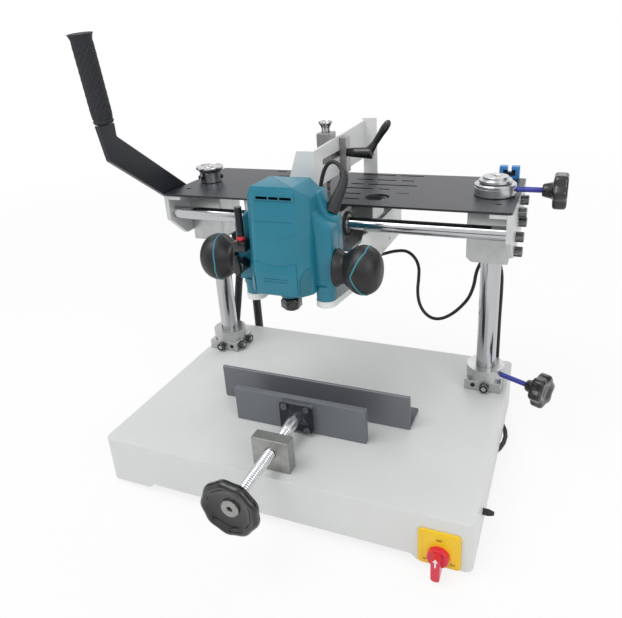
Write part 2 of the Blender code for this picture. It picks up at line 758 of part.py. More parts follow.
def smooth_route(points, spacing):
    """Evenly spaced points on a smooth curve through a route, and the curve's length."""
    route = [Vector(point) for point in points]
    ends = [route[0] * 2 - route[1], *route, route[-1] * 2 - route[-2]]
    fine = []
    for index in range(1, len(ends) - 2):
        a, b, c, d = ends[index - 1 : index + 3]
        for t in np.linspace(0, 1, 16, endpoint=False):
            bend = (a * 2 - b * 5 + c * 4 - d) * t * t + (b * 3 - a - c * 3 + d) * t * t * t
            fine.append((b * 2 + (c - a) * t + bend) / 2)
    fine.append(route[-1])
    along = np.cumsum([0] + [(after - before).length for before, after in zip(fine, fine[1:])])
    wanted = np.linspace(0, along[-1], max(2, round(along[-1] / spacing)) + 1)
    axes = [np.interp(wanted, along, [point[axis] for point in fine]) for axis in range(3)]
    return [tuple(map(float, place)) for place in zip(*axes)], float(along[-1])


def from_place(place, points):
    """Points of a route, counted from a place."""
    return [tuple(start + step for start, step in zip(place, point)) for point in points]


def make_base():
    """The folded pan, open underneath with raised skirts between its corner tabs, and its feet."""
    half = BASE_WIDTH / 2
    wall = BASE_WALL
    outline = rounded(rectangle((-half, 0), (half, BASE_DEPTH)), BASE_CORNER, 5)
    pan = plate_xy("base_pan", [outline], SKIRT_BOTTOM - OVERRUN, BASE_TOP, "white_paint")
    bevel(pan, BASE_EDGE, 3)
    below = (half + OVERRUN, BASE_DEPTH + OVERRUN)
    cut(pan, add_box("below_skirt", (-below[0], -OVERRUN, -2 * OVERRUN), (*below, SKIRT_BOTTOM)))
    inner = BASE_DEPTH - wall
    roof = BASE_TOP - wall
    cut(pan, add_box("pan_hollow", (wall - half, wall, SKIRT_BOTTOM + wall), (half - wall, inner, roof)))
    mouth = half - BASE_RETURN
    cut(pan, add_box("pan_mouth", (-mouth, wall, 0), (mouth, inner, SKIRT_BOTTOM + 2 * wall)))
    tab = half - SKIRT_TAB
    arch = tab - SKIRT_SLOPE
    raised = SKIRT_BOTTOM + SKIRT_RAISE
    shape = [(-tab, 0), (tab, 0), (tab, SKIRT_BOTTOM), (arch, raised), (-arch, raised), (-tab, SKIRT_BOTTOM)]
    cut(pan, plate_xz("skirt_arch", [shape], -OVERRUN, BASE_DEPTH + OVERRUN))
    for side, x in (("left", FOOT_INSET - half), ("right", half - FOOT_INSET)):
        for end, y in (("front", FOOT_INSET), ("rear", BASE_DEPTH - FOOT_INSET)):
            top = (x, y, SKIRT_BOTTOM - GAP)
            add_rod(f"foot_{end}_{side}", (x, y, 0), top, FOOT_RADIUS, "pale_rubber", steps=24)


def make_switch():
    """The switch plate with its turning handle outside the front wall, and the switch body inside."""
    low = SKIRT_BOTTOM + SWITCH_RISE
    left = SWITCH_X - SWITCH_WIDTH / 2
    outline = rounded(rectangle((left, low), (left + SWITCH_WIDTH, low + SWITCH_HEIGHT)), SWITCH_CORNER)
    plate_xz("switch_plate", [outline], -GAP - SWITCH_THICK, -GAP, "yellow_plastic")
    z = low + KNOB_RISE
    face = -GAP - SWITCH_THICK - GAP
    r, thick = KNOB_RADIUS, KNOB_THICK
    disc = [(0, thick), (r - EDGE, thick), (r, thick - EDGE), (r, 0), (0, 0)]
    knob = add_turned("switch_knob", disc, (SWITCH_X, face, z), (0, -1, 0), "red_plastic", 32)
    half = KNOB_GRIP_WIDTH / 2
    grip = rectangle((SWITCH_X - half, z - KNOB_GRIP_DOWN), (SWITCH_X + half, z + KNOB_GRIP_UP))
    front = face - thick - KNOB_GRIP_RISE
    join(knob, plate_xz("switch_grip", [rounded(grip, half - EDGE)], front, face - thick + LAP))
    inside = BASE_WALL + GAP
    half = SWITCH_BODY_SIDE / 2
    middle = low + SWITCH_HEIGHT / 2
    back = inside + SWITCH_BODY_DEPTH
    body = add_box(
        "switch_body",
        (SWITCH_X - half, inside, middle - half),
        (SWITCH_X + half, back, middle + half),
        "black_plastic",
    )
    root = Vector((SWITCH_X, back - LAP, middle))
    tip = Vector((SWITCH_X, back + SWITCH_GLAND_LENGTH, middle))
    gland = add_rod("switch_gland", root, tip, SWITCH_GLAND_RADIUS, None, SWITCH_GLAND_TIP, SMALL_STEPS)
    join(body, gland)
    r, tip_r, length = NUB_RADIUS, NUB_TIP_RADIUS, NUB_LENGTH
    nub = [(0, length), (tip_r, length), (r, length / 2), (r, 0), (0, 0)]
    add_turned("side_nub", nub, (BASE_WIDTH / 2 + GAP, NUB_Y, NUB_Z), (1, 0, 0), "black_rubber", 16)


def screw_head(name, place, direction, radius, height):
    """A socket screw's head, sunk by a lap into what it holds."""
    way = Vector(direction)
    start = Vector(place) - way * LAP
    return add_rod(name, start, start + way * (height + LAP), radius, steps=SMALL_STEPS)


def make_columns():
    """Two chromed columns standing in foot clamps, each a block with a round collar and its screws."""
    for side, sign in (("left", -1), ("right", 1)):
        x = sign * COLUMN_X
        add_rod(f"{side}_column", (x, COLUMN_Y, SEAT), (x, COLUMN_Y, CAP_SEAT - GAP), COLUMN_RADIUS, "chrome")
        half = CLAMP_SIDE / 2
        block_top = SEAT + CLAMP_BLOCK
        low = (x - half, COLUMN_Y - half, SEAT)
        high = (x + half, COLUMN_Y + half, block_top)
        clamp = add_box(f"{side}_foot_clamp", low, high, "aluminium")
        bevel(clamp, EDGE)
        collar_top = (x, COLUMN_Y, block_top + CLAMP_COLLAR)
        join(clamp, add_rod(f"{side}_collar", (x, COLUMN_Y, block_top - LAP), collar_top, COLLAR_RADIUS))
        above = (x, COLUMN_Y, block_top + CLAMP_COLLAR + OVERRUN)
        cut(clamp, add_rod(f"{side}_clamp_bore", (x, COLUMN_Y, SEAT - OVERRUN), above, BORE))
        screws = [(x + sign * CLAMP_SCREW_OFFSET, COLUMN_Y - half, (0, -1, 0))]
        if sign < 0:
            for turn in (-1, 1):
                screws.append((x + half, COLUMN_Y + turn * CLAMP_SCREW_PITCH / 2, (1, 0, 0)))
        for index, (screw_x, screw_y, way) in enumerate(screws):
            place = (screw_x, screw_y, SEAT + CLAMP_BLOCK / 2)
            name = f"{side}_clamp_screw_{index}"
            join(clamp, screw_head(name, place, way, CLAMP_SCREW_RADIUS, CLAMP_SCREW_HEAD))


def make_column_caps():
    """A mushroom cap on the left column, a flat cap on the right one, and the head's lock collar below it."""
    disc, rim, neck = CAP_DISC_RADIUS, CAP_DISC_RIM, CAP_NECK_HEIGHT
    top = CAP_DISC_THICK
    cap = [
        (0, top),
        (disc, top),
        (disc, top - rim),
        (CAP_NECK_RADIUS, 0),
        (CAP_NECK_RADIUS, -neck),
        (BORE, -neck),
        (BORE, 0),
        (0, 0),
    ]
    x = COLUMN_X
    add_turned("left_column_cap", cap, (-x, COLUMN_Y, CAP_SEAT), material="aluminium")
    eye = CAP_EYE_RADIUS
    flat = [
        (0, top - CAP_EYE_DEPTH),
        (eye, top - CAP_EYE_DEPTH),
        (eye, top),
        (disc, top),
        (disc, 0),
        (0, 0),
    ]
    add_turned("right_column_cap", flat, (x, COLUMN_Y, CAP_SEAT), material="aluminium")
    height = LOCK_COLLAR_HEIGHT
    ring = [(BORE, height), (COLLAR_RADIUS, height), (COLLAR_RADIUS, 0), (BORE, 0)]
    add_turned("head_lock_collar", ring, (x, COLUMN_Y, HEAD_TOP), material="aluminium", closed=True)


def make_star_knob(name, height, stud, turn):
    """A star knob whose stud screws into a collar round the right column."""
    way = Vector((math.cos(turn), math.sin(turn), 0))
    start = Vector((COLUMN_X, COLUMN_Y, height)) + way * (COLLAR_RADIUS + GAP)
    r, hub = STUD_RADIUS, STAR_HUB_LENGTH
    top = stud + hub + LAP
    profile = [(0, top), (STAR_HUB_RADIUS, top), (STAR_HUB_TIP, stud), (r, stud), (r, 0), (0, 0)]
    knob = add_turned(name, profile, start, way, "black_plastic", SMALL_STEPS)
    bottom = stud + hub
    star = add_outline(
        name + "_star",
        [lobed(STAR_RADIUS, STAR_DIP, STAR_LOBES, STAR_STEPS)],
        bottom,
        bottom + STAR_THICK,
        look_along(start, way),
    )
    bevel(star, STAR_EDGE)
    join(knob, star)


def make_end_plates():
    """The two end plates with their top flanges, and the blocks that run on the columns."""
    front = PLATE_FRONT
    back = front + END_DEPTH
    low = PLATE_UNDER - END_DROP
    shoulder = low + END_CHAMFER_RISE
    shape = [
        (front, PLATE_UNDER),
        (front, shoulder),
        (front + END_CHAMFER, low),
        (back - END_CHAMFER, low),
        (back, shoulder),
        (back, PLATE_UNDER),
    ]
    for side, sign in (("left", -1), ("right", 1)):
        near, far = sorted((sign * END_INNER, sign * END_OUTER))
        plate = plate_yz(f"{side}_end_plate", [shape], near, far, "aluminium")
        bevel(plate, EDGE)
        near, far = sorted((sign * (END_INNER - END_FLANGE), sign * (END_INNER + LAP)))
        flange_low = PLATE_UNDER - END_FLANGE_THICK
        corner = (far, back - EDGE, PLATE_UNDER - EDGE / 2)
        join(plate, add_box(f"{side}_flange", (near, front + EDGE, flange_low), corner))
        make_head_block(side, sign)
    make_end_screws()


# Places on the right end plate, as shares of its depth and of its drop
END_SCREW_SHARES = ((0.56, 0.08), (0.43, 0.24), (0.5, 0.48), (0.3, 0.63), (0.26, 0.89))


def make_end_screws():
    """The socket screws on the right end plate's outer face."""
    plate = bpy.data.objects["right_end_plate"]
    for index, (depth_share, drop_share) in enumerate(END_SCREW_SHARES):
        place = (END_OUTER, PLATE_FRONT + END_DEPTH * depth_share, PLATE_UNDER - END_DROP * drop_share)
        join(plate, screw_head(f"end_screw_{index}", place, (1, 0, 0), END_SCREW_RADIUS, END_SCREW_HEAD))


def make_head_block(side, sign):
    """A block that slides on a column, stepped under the end plate's flange."""
    x = sign * COLUMN_X
    outer = END_INNER - GAP
    inner = outer - HEAD_BLOCK_WIDTH
    step = END_INNER - END_FLANGE - EDGE - GAP
    chamfer = HEAD_BLOCK_CHAMFER
    shape = [
        (inner, PLATE_UNDER),
        (inner, BLOCK_BOTTOM + chamfer),
        (inner + chamfer, BLOCK_BOTTOM),
        (outer, BLOCK_BOTTOM),
        (outer, BLOCK_TOP),
        (step, BLOCK_TOP),
        (step, PLATE_UNDER),
    ]
    outline = [(sign * across, up) for across, up in shape]
    half = HEAD_BLOCK_DEPTH / 2
    block = plate_xz(f"{side}_head_block", [outline], COLUMN_Y - half, COLUMN_Y + half, "aluminium")
    bevel(block, EDGE, 1)
    if sign > 0:
        lug_x = x - CORD_LUG_WIDTH
        back = COLUMN_Y + half - EDGE
        low = BLOCK_BOTTOM - CORD_LUG_DROP
        corner = (lug_x + CORD_LUG_WIDTH, back, BLOCK_BOTTOM + LAP)
        join(block, add_box("cord_lug", (lug_x, back - CORD_LUG_DEPTH, low), corner))
        eye_y = back - CORD_LUG_DEPTH / 2
        eye_z = BLOCK_BOTTOM - CORD_LUG_BORE_DROP
        start = (lug_x - OVERRUN, eye_y, eye_z)
        end = (lug_x + OVERRUN, eye_y, eye_z)
        cut(block, add_rod("cord_eye", start, end, CORD_EYE_RADIUS, steps=SMALL_STEPS))
    else:
        tip = shaft_tip()
        start = (tip - RUN_GAP, COLUMN_Y, LEVER_Z)
        end = (-END_OUTER - OVERRUN, COLUMN_Y, LEVER_Z)
        far = (tip + RUN_GAP, *start[1:])
        shaft = add_rod("shaft_bore", end, far, LEVER_SHAFT_RADIUS + RUN_GAP, steps=24)
        cut(block, shaft)
        cut(bpy.data.objects["left_end_plate"], shaft)
    under = (x, COLUMN_Y, BLOCK_BOTTOM - OVERRUN)
    over = (x, COLUMN_Y, PLATE_TOP + OVERRUN)
    bore = add_rod(f"{side}_head_bore", under, over, BORE)
    cut(block, bore)
    cut(bpy.data.objects[f"{side}_end_plate"], bore)


def shaft_tip():
    """Where the lever's shaft ends inside the left column block."""
    return LEVER_SHAFT_DEPTH - END_INNER


def make_guide_rods():
    """The two chromed rods between the end plates."""
    for name, y in (("front_rod", FRONT_ROD_Y), ("rear_rod", REAR_ROD_Y)):
        add_rod(name, (GAP - END_INNER, y, ROD_Z), (END_INNER - GAP, y, ROD_Z), ROD_RADIUS, "chrome")


def slot(left, right, y, width):
    """The outline of a round-ended slot along X."""
    half = width / 2
    return arc((left + half, y), half, 90, 270, 6) + arc((right - half, y), half, -90, 90, 6)


def make_template_plate():
    """The black template plate with its slots, its window and the clip block behind its right end."""
    half = PLATE_WIDTH / 2
    edge = rounded(rectangle((-half, PLATE_FRONT), (half, PLATE_BACK)), PLATE_CORNER, 3)
    holes = []
    for row_share, spans in SLOT_ROW_SHARES:
        y = PLATE_FRONT + PLATE_DEPTH * row_share
        holes += [slot(half * left, half * right, y, SLOT_WIDTH) for left, right in spans]
    row_share, left_share, right_share = FINE_SLOT_SHARES
    y = PLATE_FRONT + PLATE_DEPTH * row_share
    holes.append(slot(half * left_share, half * right_share, y, FINE_SLOT_WIDTH))
    holes.append(circle((WINDOW_X, WINDOW_Y), WINDOW_RADIUS, 28))
    for sign in (-1, 1):
        hole = BORE + PLATE_COLUMN_CLEAR
        holes.append(circle((sign * COLUMN_X, COLUMN_Y), hole, ROUND_STEPS))
        screw = (sign * (half - PLATE_SCREW_INSET_X), PLATE_FRONT + PLATE_SCREW_INSET_Y)
        holes.append(circle(screw, PLATE_SCREW_RADIUS, 16))
    plate_xy("template_plate", [edge, *holes], PLATE_TOP - PLATE_THICK, PLATE_TOP, "black_metal")
    right = half - CLIP_INSET
    low = (right - CLIP_WIDTH, PLATE_BACK - CLIP_DEPTH, HEAD_TOP)
    clip = add_box("clip_block", low, (right, PLATE_BACK, HEAD_TOP + CLIP_HEIGHT), "blue_plastic")
    bevel(clip, EDGE)


def make_lever():
    """The cranked hand lever outside the left end plate, its shaft and its grip."""
    pivot = Vector((COLUMN_Y, LEVER_Z))
    along = Vector((-math.cos(LEVER_SLOPE), math.sin(LEVER_SLOPE)))
    across = Vector((math.sin(LEVER_SLOPE), math.cos(LEVER_SLOPE)))
    half, neck = LEVER_WIDTH / 2, LEVER_NECK_WIDTH / 2
    knee = pivot + along * LEVER_REACH
    shape = [
        pivot - along * half + across * half,
        knee + across * half,
        Vector((LEVER_NECK_Y + neck, LEVER_NECK_TOP)),
        Vector((LEVER_NECK_Y - neck, LEVER_NECK_TOP)),
        knee - across * half,
        pivot - along * half - across * half,
    ]
    bends = [half - LAP, LEVER_BEND, 0, 0, LEVER_BEND, half - LAP]
    outline = rounded([tuple(point) for point in shape], bends, 5)
    inner = -END_OUTER - LEVER_STANDOFF
    outer = inner - LEVER_THICK
    origin = (outer, *pivot)
    arm = plate_yz("lever_arm", [outline], outer, inner, "black_metal", origin)
    bevel(arm, EDGE, 1)
    hub_end = -END_OUTER - GAP
    join(arm, add_rod("lever_hub", (inner - LAP, *pivot), (hub_end, *pivot), LEVER_HUB_RADIUS, steps=32))
    root = (inner - LAP, *pivot)
    join(arm, add_rod("lever_shaft", root, (shaft_tip(), *pivot), LEVER_SHAFT_RADIUS, steps=24))
    r, end, length = GRIP_RADIUS, GRIP_END_RADIUS, GRIP_LENGTH
    grip = [
        (0, length),
        (end - SOFT_EDGE, length),
        (end, length - SOFT_EDGE),
        (r, length - GRIP_FLARE),
        (r, GRIP_ROOT),
        (r - EDGE, 0),
        (0, 0),
    ]
    lean = (0, -math.sin(GRIP_LEAN), math.cos(GRIP_LEAN))
    rise = GAP + r * math.tan(GRIP_LEAN)
    root = ((inner + outer) / 2, LEVER_NECK_Y, LEVER_NECK_TOP + rise)
    add_turned("lever_grip", grip, root, lean, "black_rubber", 28)


def make_vice():
    """Fence, moving jaw, screwed flange, nut block, lead screw and handwheel."""
    half, front, thick = FENCE_WIDTH / 2, FENCE_FRONT, FENCE_THICK
    angle = [
        (front, SEAT),
        (front + FENCE_DEPTH, SEAT),
        (front + FENCE_DEPTH, SEAT + thick),
        (front + thick, SEAT + thick),
        (front + thick, SEAT + FENCE_HEIGHT),
        (front, SEAT + FENCE_HEIGHT),
    ]
    bevel(plate_yz("fence", [angle], -half, half, "dark_steel"), EDGE, 1)
    half = JAW_WIDTH / 2
    corner = (half, JAW_FRONT + JAW_THICK, SEAT + JAW_HEIGHT)
    bevel(add_box("vice_jaw", (-half, JAW_FRONT, SEAT), corner, "grey_steel"), EDGE)
    make_jaw_flange()
    half = NUT_WIDTH / 2
    corner = (half, NUT_FRONT + NUT_THICK, SEAT + NUT_HEIGHT)
    block = add_box("nut_block", (-half, NUT_FRONT, SEAT), corner, "aluminium")
    bevel(block, EDGE)
    ends = [(0, NUT_FRONT - OVERRUN, SCREW_Z), (0, NUT_FRONT + NUT_THICK + OVERRUN, SCREW_Z)]
    cut(block, add_rod("nut_bore", *ends, SCREW_RADIUS + RUN_GAP))
    tip = JAW_FRONT - GAP
    start = WHEEL_FRONT + WHEEL_HUB_SINK + WHEEL_HUB_LENGTH + GAP
    length = tip - start
    hub = length - SCREW_HUB_LENGTH
    r, big = SCREW_RADIUS, SCREW_HUB_RADIUS
    screw = [(0, length), (big, length), (big, hub), (r, hub - SCREW_HUB_CONE), (r, 0), (0, 0)]
    add_turned("lead_screw", screw, (0, start, SCREW_Z), (0, 1, 0), "chrome", 32)
    make_handwheel()


def make_jaw_flange():
    """The flange that ties the lead screw's hub to the jaw, with its four screws."""
    half = FLANGE_WIDTH / 2
    low = SCREW_Z - FLANGE_HEIGHT / 2
    shape = rounded(rectangle((-half, low), (half, low + FLANGE_HEIGHT)), FLANGE_CORNER)
    hole = circle((0, SCREW_Z), SCREW_HUB_RADIUS + RUN_GAP, 24)
    back = JAW_FRONT - GAP
    front = back - FLANGE_THICK
    flange = plate_xz("jaw_flange", [shape, hole], front, back, "dark_steel")
    for index, (across, up) in enumerate(((-1, -1), (-1, 1), (1, -1), (1, 1))):
        step = FLANGE_SCREW_PITCH / 2
        place = (across * step, front, SCREW_Z + up * step)
        name = f"flange_screw_{index}"
        join(flange, screw_head(name, place, (0, -1, 0), FLANGE_SCREW_RADIUS, FLANGE_SCREW_HEAD))


def make_handwheel():
    """The lobed handwheel with a dished face, and the metal hub it is pressed on."""
    y = WHEEL_FRONT
    lobes = lobed(WHEEL_RADIUS, WHEEL_DIP, WHEEL_LOBES, WHEEL_STEPS)
    outline = [(across, SCREW_Z + up) for across, up in lobes]
    wheel = plate_xz("handwheel", [outline], y, y + WHEEL_THICK, "black_plastic", (0, y, SCREW_Z))
    bevel(wheel, WHEEL_EDGE, 3)
    bore, dish = WHEEL_HUB_RADIUS + GAP, WHEEL_DISH_RADIUS
    hollow = [
        (0, WHEEL_THICK + OVERRUN),
        (bore, WHEEL_THICK + OVERRUN),
        (bore, WHEEL_DISH),
        (bore + WHEEL_EDGE, WHEEL_DISH),
        (dish, -LAP),
        (dish, -OVERRUN),
        (0, -OVERRUN),
    ]
    cut(wheel, add_turned("wheel_hollow", hollow, (0, y, SCREW_Z), (0, 1, 0)))
    r, eye, length = WHEEL_HUB_RADIUS, WHEEL_EYE_RADIUS, WHEEL_HUB_LENGTH
    hub = [
        (0, length - WHEEL_EYE_DEPTH),
        (eye, length - WHEEL_EYE_DEPTH),
        (eye, length),
        (r, length),
        (r, 0),
        (0, 0),
    ]
    seat = (0, y + WHEEL_HUB_SINK + length, SCREW_Z)
    add_turned("handwheel_hub", hub, seat, (0, -1, 0), "aluminium", 28)


def make_strut():
    """The gas strut from the base's rear wall to the template plate."""
    bore = STRUT_ROD_RADIUS + RUN_GAP
    height = STRUT_TOP - STRUT_BOTTOM
    r, floor = STRUT_RADIUS, STRUT_FLOOR
    body = [(0, floor), (bore, floor), (bore, height), (r, height), (r, 0), (0, 0)]
    tube = add_turned("strut_tube", body, (STRUT_X, STRUT_Y, STRUT_BOTTOM), material="black_metal", steps=24)
    lug_low = (STRUT_X - r, BASE_DEPTH + GAP, STRUT_BOTTOM)
    lug_high = (STRUT_X + r, STRUT_Y - bore - EDGE, STRUT_BOTTOM + STRUT_LUG_HEIGHT)
    join(tube, add_box("strut_lug", lug_low, lug_high))
    start = (STRUT_X, STRUT_Y, STRUT_TOP - STRUT_ENGAGED)
    end = (STRUT_X, STRUT_Y, PLATE_UNDER)
    add_rod("strut_rod", start, end, STRUT_ROD_RADIUS, "chrome", steps=SMALL_STEPS)


# The conduit's route up behind the left column: from the column's foot, then from under its head block
CONDUIT_FROM_FOOT = [
    (-11 * MM, 39 * MM, 0),
    (-10 * MM, 39 * MM, 18.7 * MM),
    (-6 * MM, 39 * MM, 40.7 * MM),
    (0, 38 * MM, 68.7 * MM),
    (7 * MM, 36 * MM, 101.7 * MM),
]
CONDUIT_FROM_HEAD = [
    (14 * MM, 33 * MM, -84.3 * MM),
    (19 * MM, 27 * MM, -49.3 * MM),
    (20.5 * MM, 23.5 * MM, -22.3 * MM),
    (20.5 * MM, 23 * MM, -0.5 * MM),
]


def make_conduit():
    """The dark flexible conduit between the base and the head."""
    route = from_place((-COLUMN_X, COLUMN_Y, SEAT), CONDUIT_FROM_FOOT)
    route += from_place((-COLUMN_X, COLUMN_Y, BLOCK_BOTTOM), CONDUIT_FROM_HEAD)
    points, _ = smooth_route(route, CONDUIT_STEP)
    add_tube("conduit", points, CONDUIT_RADIUS, "black_rubber")


def make_bearings():
    """The bearing blocks on the guide rods, and the two cross rods between them."""
    low = ROD_Z - BEARING_HEIGHT / 2
    half = BEARING_DEPTH / 2
    for name, y, left, right in (
        ("front_bearing", FRONT_ROD_Y, FRONT_BEARING_LEFT, FRONT_BEARING_RIGHT),
        ("rear_bearing", REAR_ROD_Y, REAR_BEARING_LEFT, REAR_BEARING_RIGHT),
    ):
        block = add_box(name, (left, y - half, low), (right, y + half, low + BEARING_HEIGHT), "aluminium")
        bevel(block, EDGE)
        if y < COLUMN_Y:
            add_front_fittings(block, y, low)
        ends = (left - OVERRUN, y, ROD_Z), (right + OVERRUN, y, ROD_Z)
        bore = add_rod(name + "_bore", *ends, ROD_RADIUS + GAP)
        cut(block, bore)
    start = FRONT_ROD_Y + half + GAP
    end = REAR_ROD_Y - half - GAP
    for side, sign in (("left", -1), ("right", 1)):
        x = ROUTER_X + sign * CROSS_ROD_SPREAD / 2
        add_rod(f"{side}_cross_rod", (x, start, ROD_Z), (x, end, ROD_Z), CROSS_ROD_RADIUS, "chrome", steps=24)


def add_front_fittings(block, y, low):
    """The seal round the front rod and the foot plate under the front bearing."""
    start = (FRONT_BEARING_RIGHT - LAP, y, ROD_Z)
    end = (FRONT_BEARING_RIGHT + SEAL_THICK, y, ROD_Z)
    join(block, add_rod("front_seal", start, end, SEAL_RADIUS))
    foot_low = (FOOT_PLATE_LEFT, FOOT_PLATE_FRONT, low - FOOT_PLATE_THICK)
    foot_high = (FOOT_PLATE_RIGHT, FOOT_PLATE_FRONT + FOOT_PLATE_DEPTH, low + LAP)
    join(block, add_box("foot_plate", foot_low, foot_high))


def make_cross_slide():
    """The block between the bracket's cheeks that runs on the cross rods."""
    half = SLIDE_DEPTH / 2
    reach = CHEEK_SPREAD / 2 - CHEEK_THICK - GAP
    low = (ROUTER_X - reach, COLUMN_Y - half, SLIDE_TOP - SLIDE_HEIGHT)
    block = add_box("cross_slide", low, (ROUTER_X + reach, COLUMN_Y + half, SLIDE_TOP), "aluminium")
    bevel(block, EDGE)
    for side, sign in (("left", -1), ("right", 1)):
        x = ROUTER_X + sign * CROSS_ROD_SPREAD / 2
        ends = [(x, COLUMN_Y - half - OVERRUN, ROD_Z), (x, COLUMN_Y + half + OVERRUN, ROD_Z)]
        cut(block, add_rod(f"{side}_slide_bore", *ends, CROSS_ROD_RADIUS + GAP, steps=24))


def make_bracket():
    """The white bracket: floor with a lobe under each router column, two cheeks and a rear wall."""
    reach, lobe = SLEEVE_SPACING / 2, BRACKET_LOBE
    side = CHEEK_SPREAD / 2
    x, y, notch = ROUTER_X, ROUTER_Y, reach - BRACKET_LOBE
    outline = (
        arc((x - reach, y), lobe, 180, 360, 12)
        + arc((x, BRACKET_NOTCH_BACK - notch), notch, 180, 0, 12)
        + arc((x + reach, y), lobe, 180, 360, 12)
        + [
            (x + side, CHEEK_FRONT),
            (x + side, BRACKET_FLOOR_BACK),
            (x - side, BRACKET_FLOOR_BACK),
            (x - side, CHEEK_FRONT),
        ]
    )
    bracket = plate_xy("router_bracket", [outline], BRACKET_BOTTOM, FLOOR_TOP, "white_paint")
    bevel(bracket, EDGE)
    back = REAR_WALL_Y + REAR_WALL_THICK
    under = FLOOR_TOP - LAP
    shape = [
        (CHEEK_FRONT + EDGE, under),
        (BRACKET_FLOOR_BACK, under),
        (BRACKET_FLOOR_BACK + LAP, CHEEK_LOW),
        (back - EDGE, CHEEK_LOW),
        (back - EDGE, CHEEK_TOP),
        (CHEEK_FRONT + CHEEK_RAMP, CHEEK_TOP),
        (CHEEK_FRONT + EDGE, FLOOR_TOP + CHEEK_THICK),
    ]
    hole = circle(CHEEK_HOLE, CHEEK_HOLE_RADIUS, 16)
    for name, left in (("left_cheek", x - side), ("right_cheek", x + side - CHEEK_THICK)):
        join(bracket, plate_yz(name, [shape, hole], left, left + CHEEK_THICK))
    wall_low = (x - side, REAR_WALL_Y, CHEEK_LOW)
    join(bracket, add_box("rear_wall", wall_low, (x + side, back, REAR_WALL_TOP)))
    for name, sign in (("left_plunge_column", -1), ("right_plunge_column", 1)):
        foot = (x + sign * reach, y, under)
        join(bracket, add_rod(name, foot, (foot[0], y, FLOOR_TOP + PLUNGE_HEIGHT), PLUNGE_RADIUS, steps=24))


def make_bridge():
    """The white bridge over the template plate: a slotted side with a front and a rear leg."""
    top, front = BRIDGE_TOP, BRIDGE_FRONT
    back = REAR_WALL_Y - GAP
    side = [(front, BRIDGE_BOTTOM), (back, BRIDGE_BOTTOM), (back, top + BRIDGE_RISE), (front, top)]
    slot_back = GUIDE_SLOT_FRONT + GUIDE_SLOT_LENGTH
    slot_top = GUIDE_SLOT_BOTTOM + GUIDE_SLOT_HEIGHT
    window = rectangle((GUIDE_SLOT_FRONT, GUIDE_SLOT_BOTTOM), (slot_back, slot_top))
    right = BRIDGE_X + BRIDGE_THICK
    bridge = plate_yz("bridge", [side, window], BRIDGE_X, right, "white_paint")
    foot = FLOOR_TOP + GAP
    leg = [
        (right, foot),
        (right, top),
        (right - BRIDGE_LEG_TOP_WIDTH, top),
        (right - BRIDGE_LEG_WIDTH, top - BRIDGE_LEG_SLOPE),
        (right - BRIDGE_LEG_WIDTH, foot),
    ]
    join(bridge, plate_xz("front_leg", [leg], front, front + BRIDGE_THICK))
    low = (BRIDGE_X, back - BRIDGE_THICK, PLATE_TOP - BRIDGE_REAR_DROP)
    high = (BRIDGE_X + BRIDGE_REAR_WIDTH, back, top + BRIDGE_RISE + BRIDGE_EAR)
    join(bridge, add_box("rear_leg", low, high))


def make_stylus():
    """The clamp bar and its ratchet lever on the bridge's right, and the stylus in its holder on the left."""
    left = BRIDGE_X + BRIDGE_THICK + GAP
    half = CLAMP_BAR_DEPTH / 2
    z = GUIDE_SLOT_BOTTOM + GUIDE_SLOT_HEIGHT / 2
    top = PLATE_TOP + CLAMP_BAR_RISE
    low = (left, COLUMN_Y - half, top - CLAMP_BAR_HEIGHT)
    bar = add_box("clamp_bar", low, (left + CLAMP_BAR_WIDTH, COLUMN_Y + half, top), "grey_steel")
    bevel(bar, EDGE)
    start = Vector((left + CLAMP_BAR_WIDTH + GAP, COLUMN_Y, z))
    end = start + Vector((RATCHET_HUB_LENGTH, 0, 0))
    lever = add_rod("clamp_lever", start, end, RATCHET_HUB_ROOT, "black_plastic", RATCHET_HUB_RADIUS, 24)
    root = end - Vector((RATCHET_ROOT_RADIUS, 0, 0))
    tip = root + Vector((math.sin(RATCHET_TILT), 0, math.cos(RATCHET_TILT))) * RATCHET_REACH
    join(lever, add_rod("clamp_lever_arm", root, tip, RATCHET_ROOT_RADIUS, None, RATCHET_TIP_RADIUS, 16))
    make_stylus_holder(z)


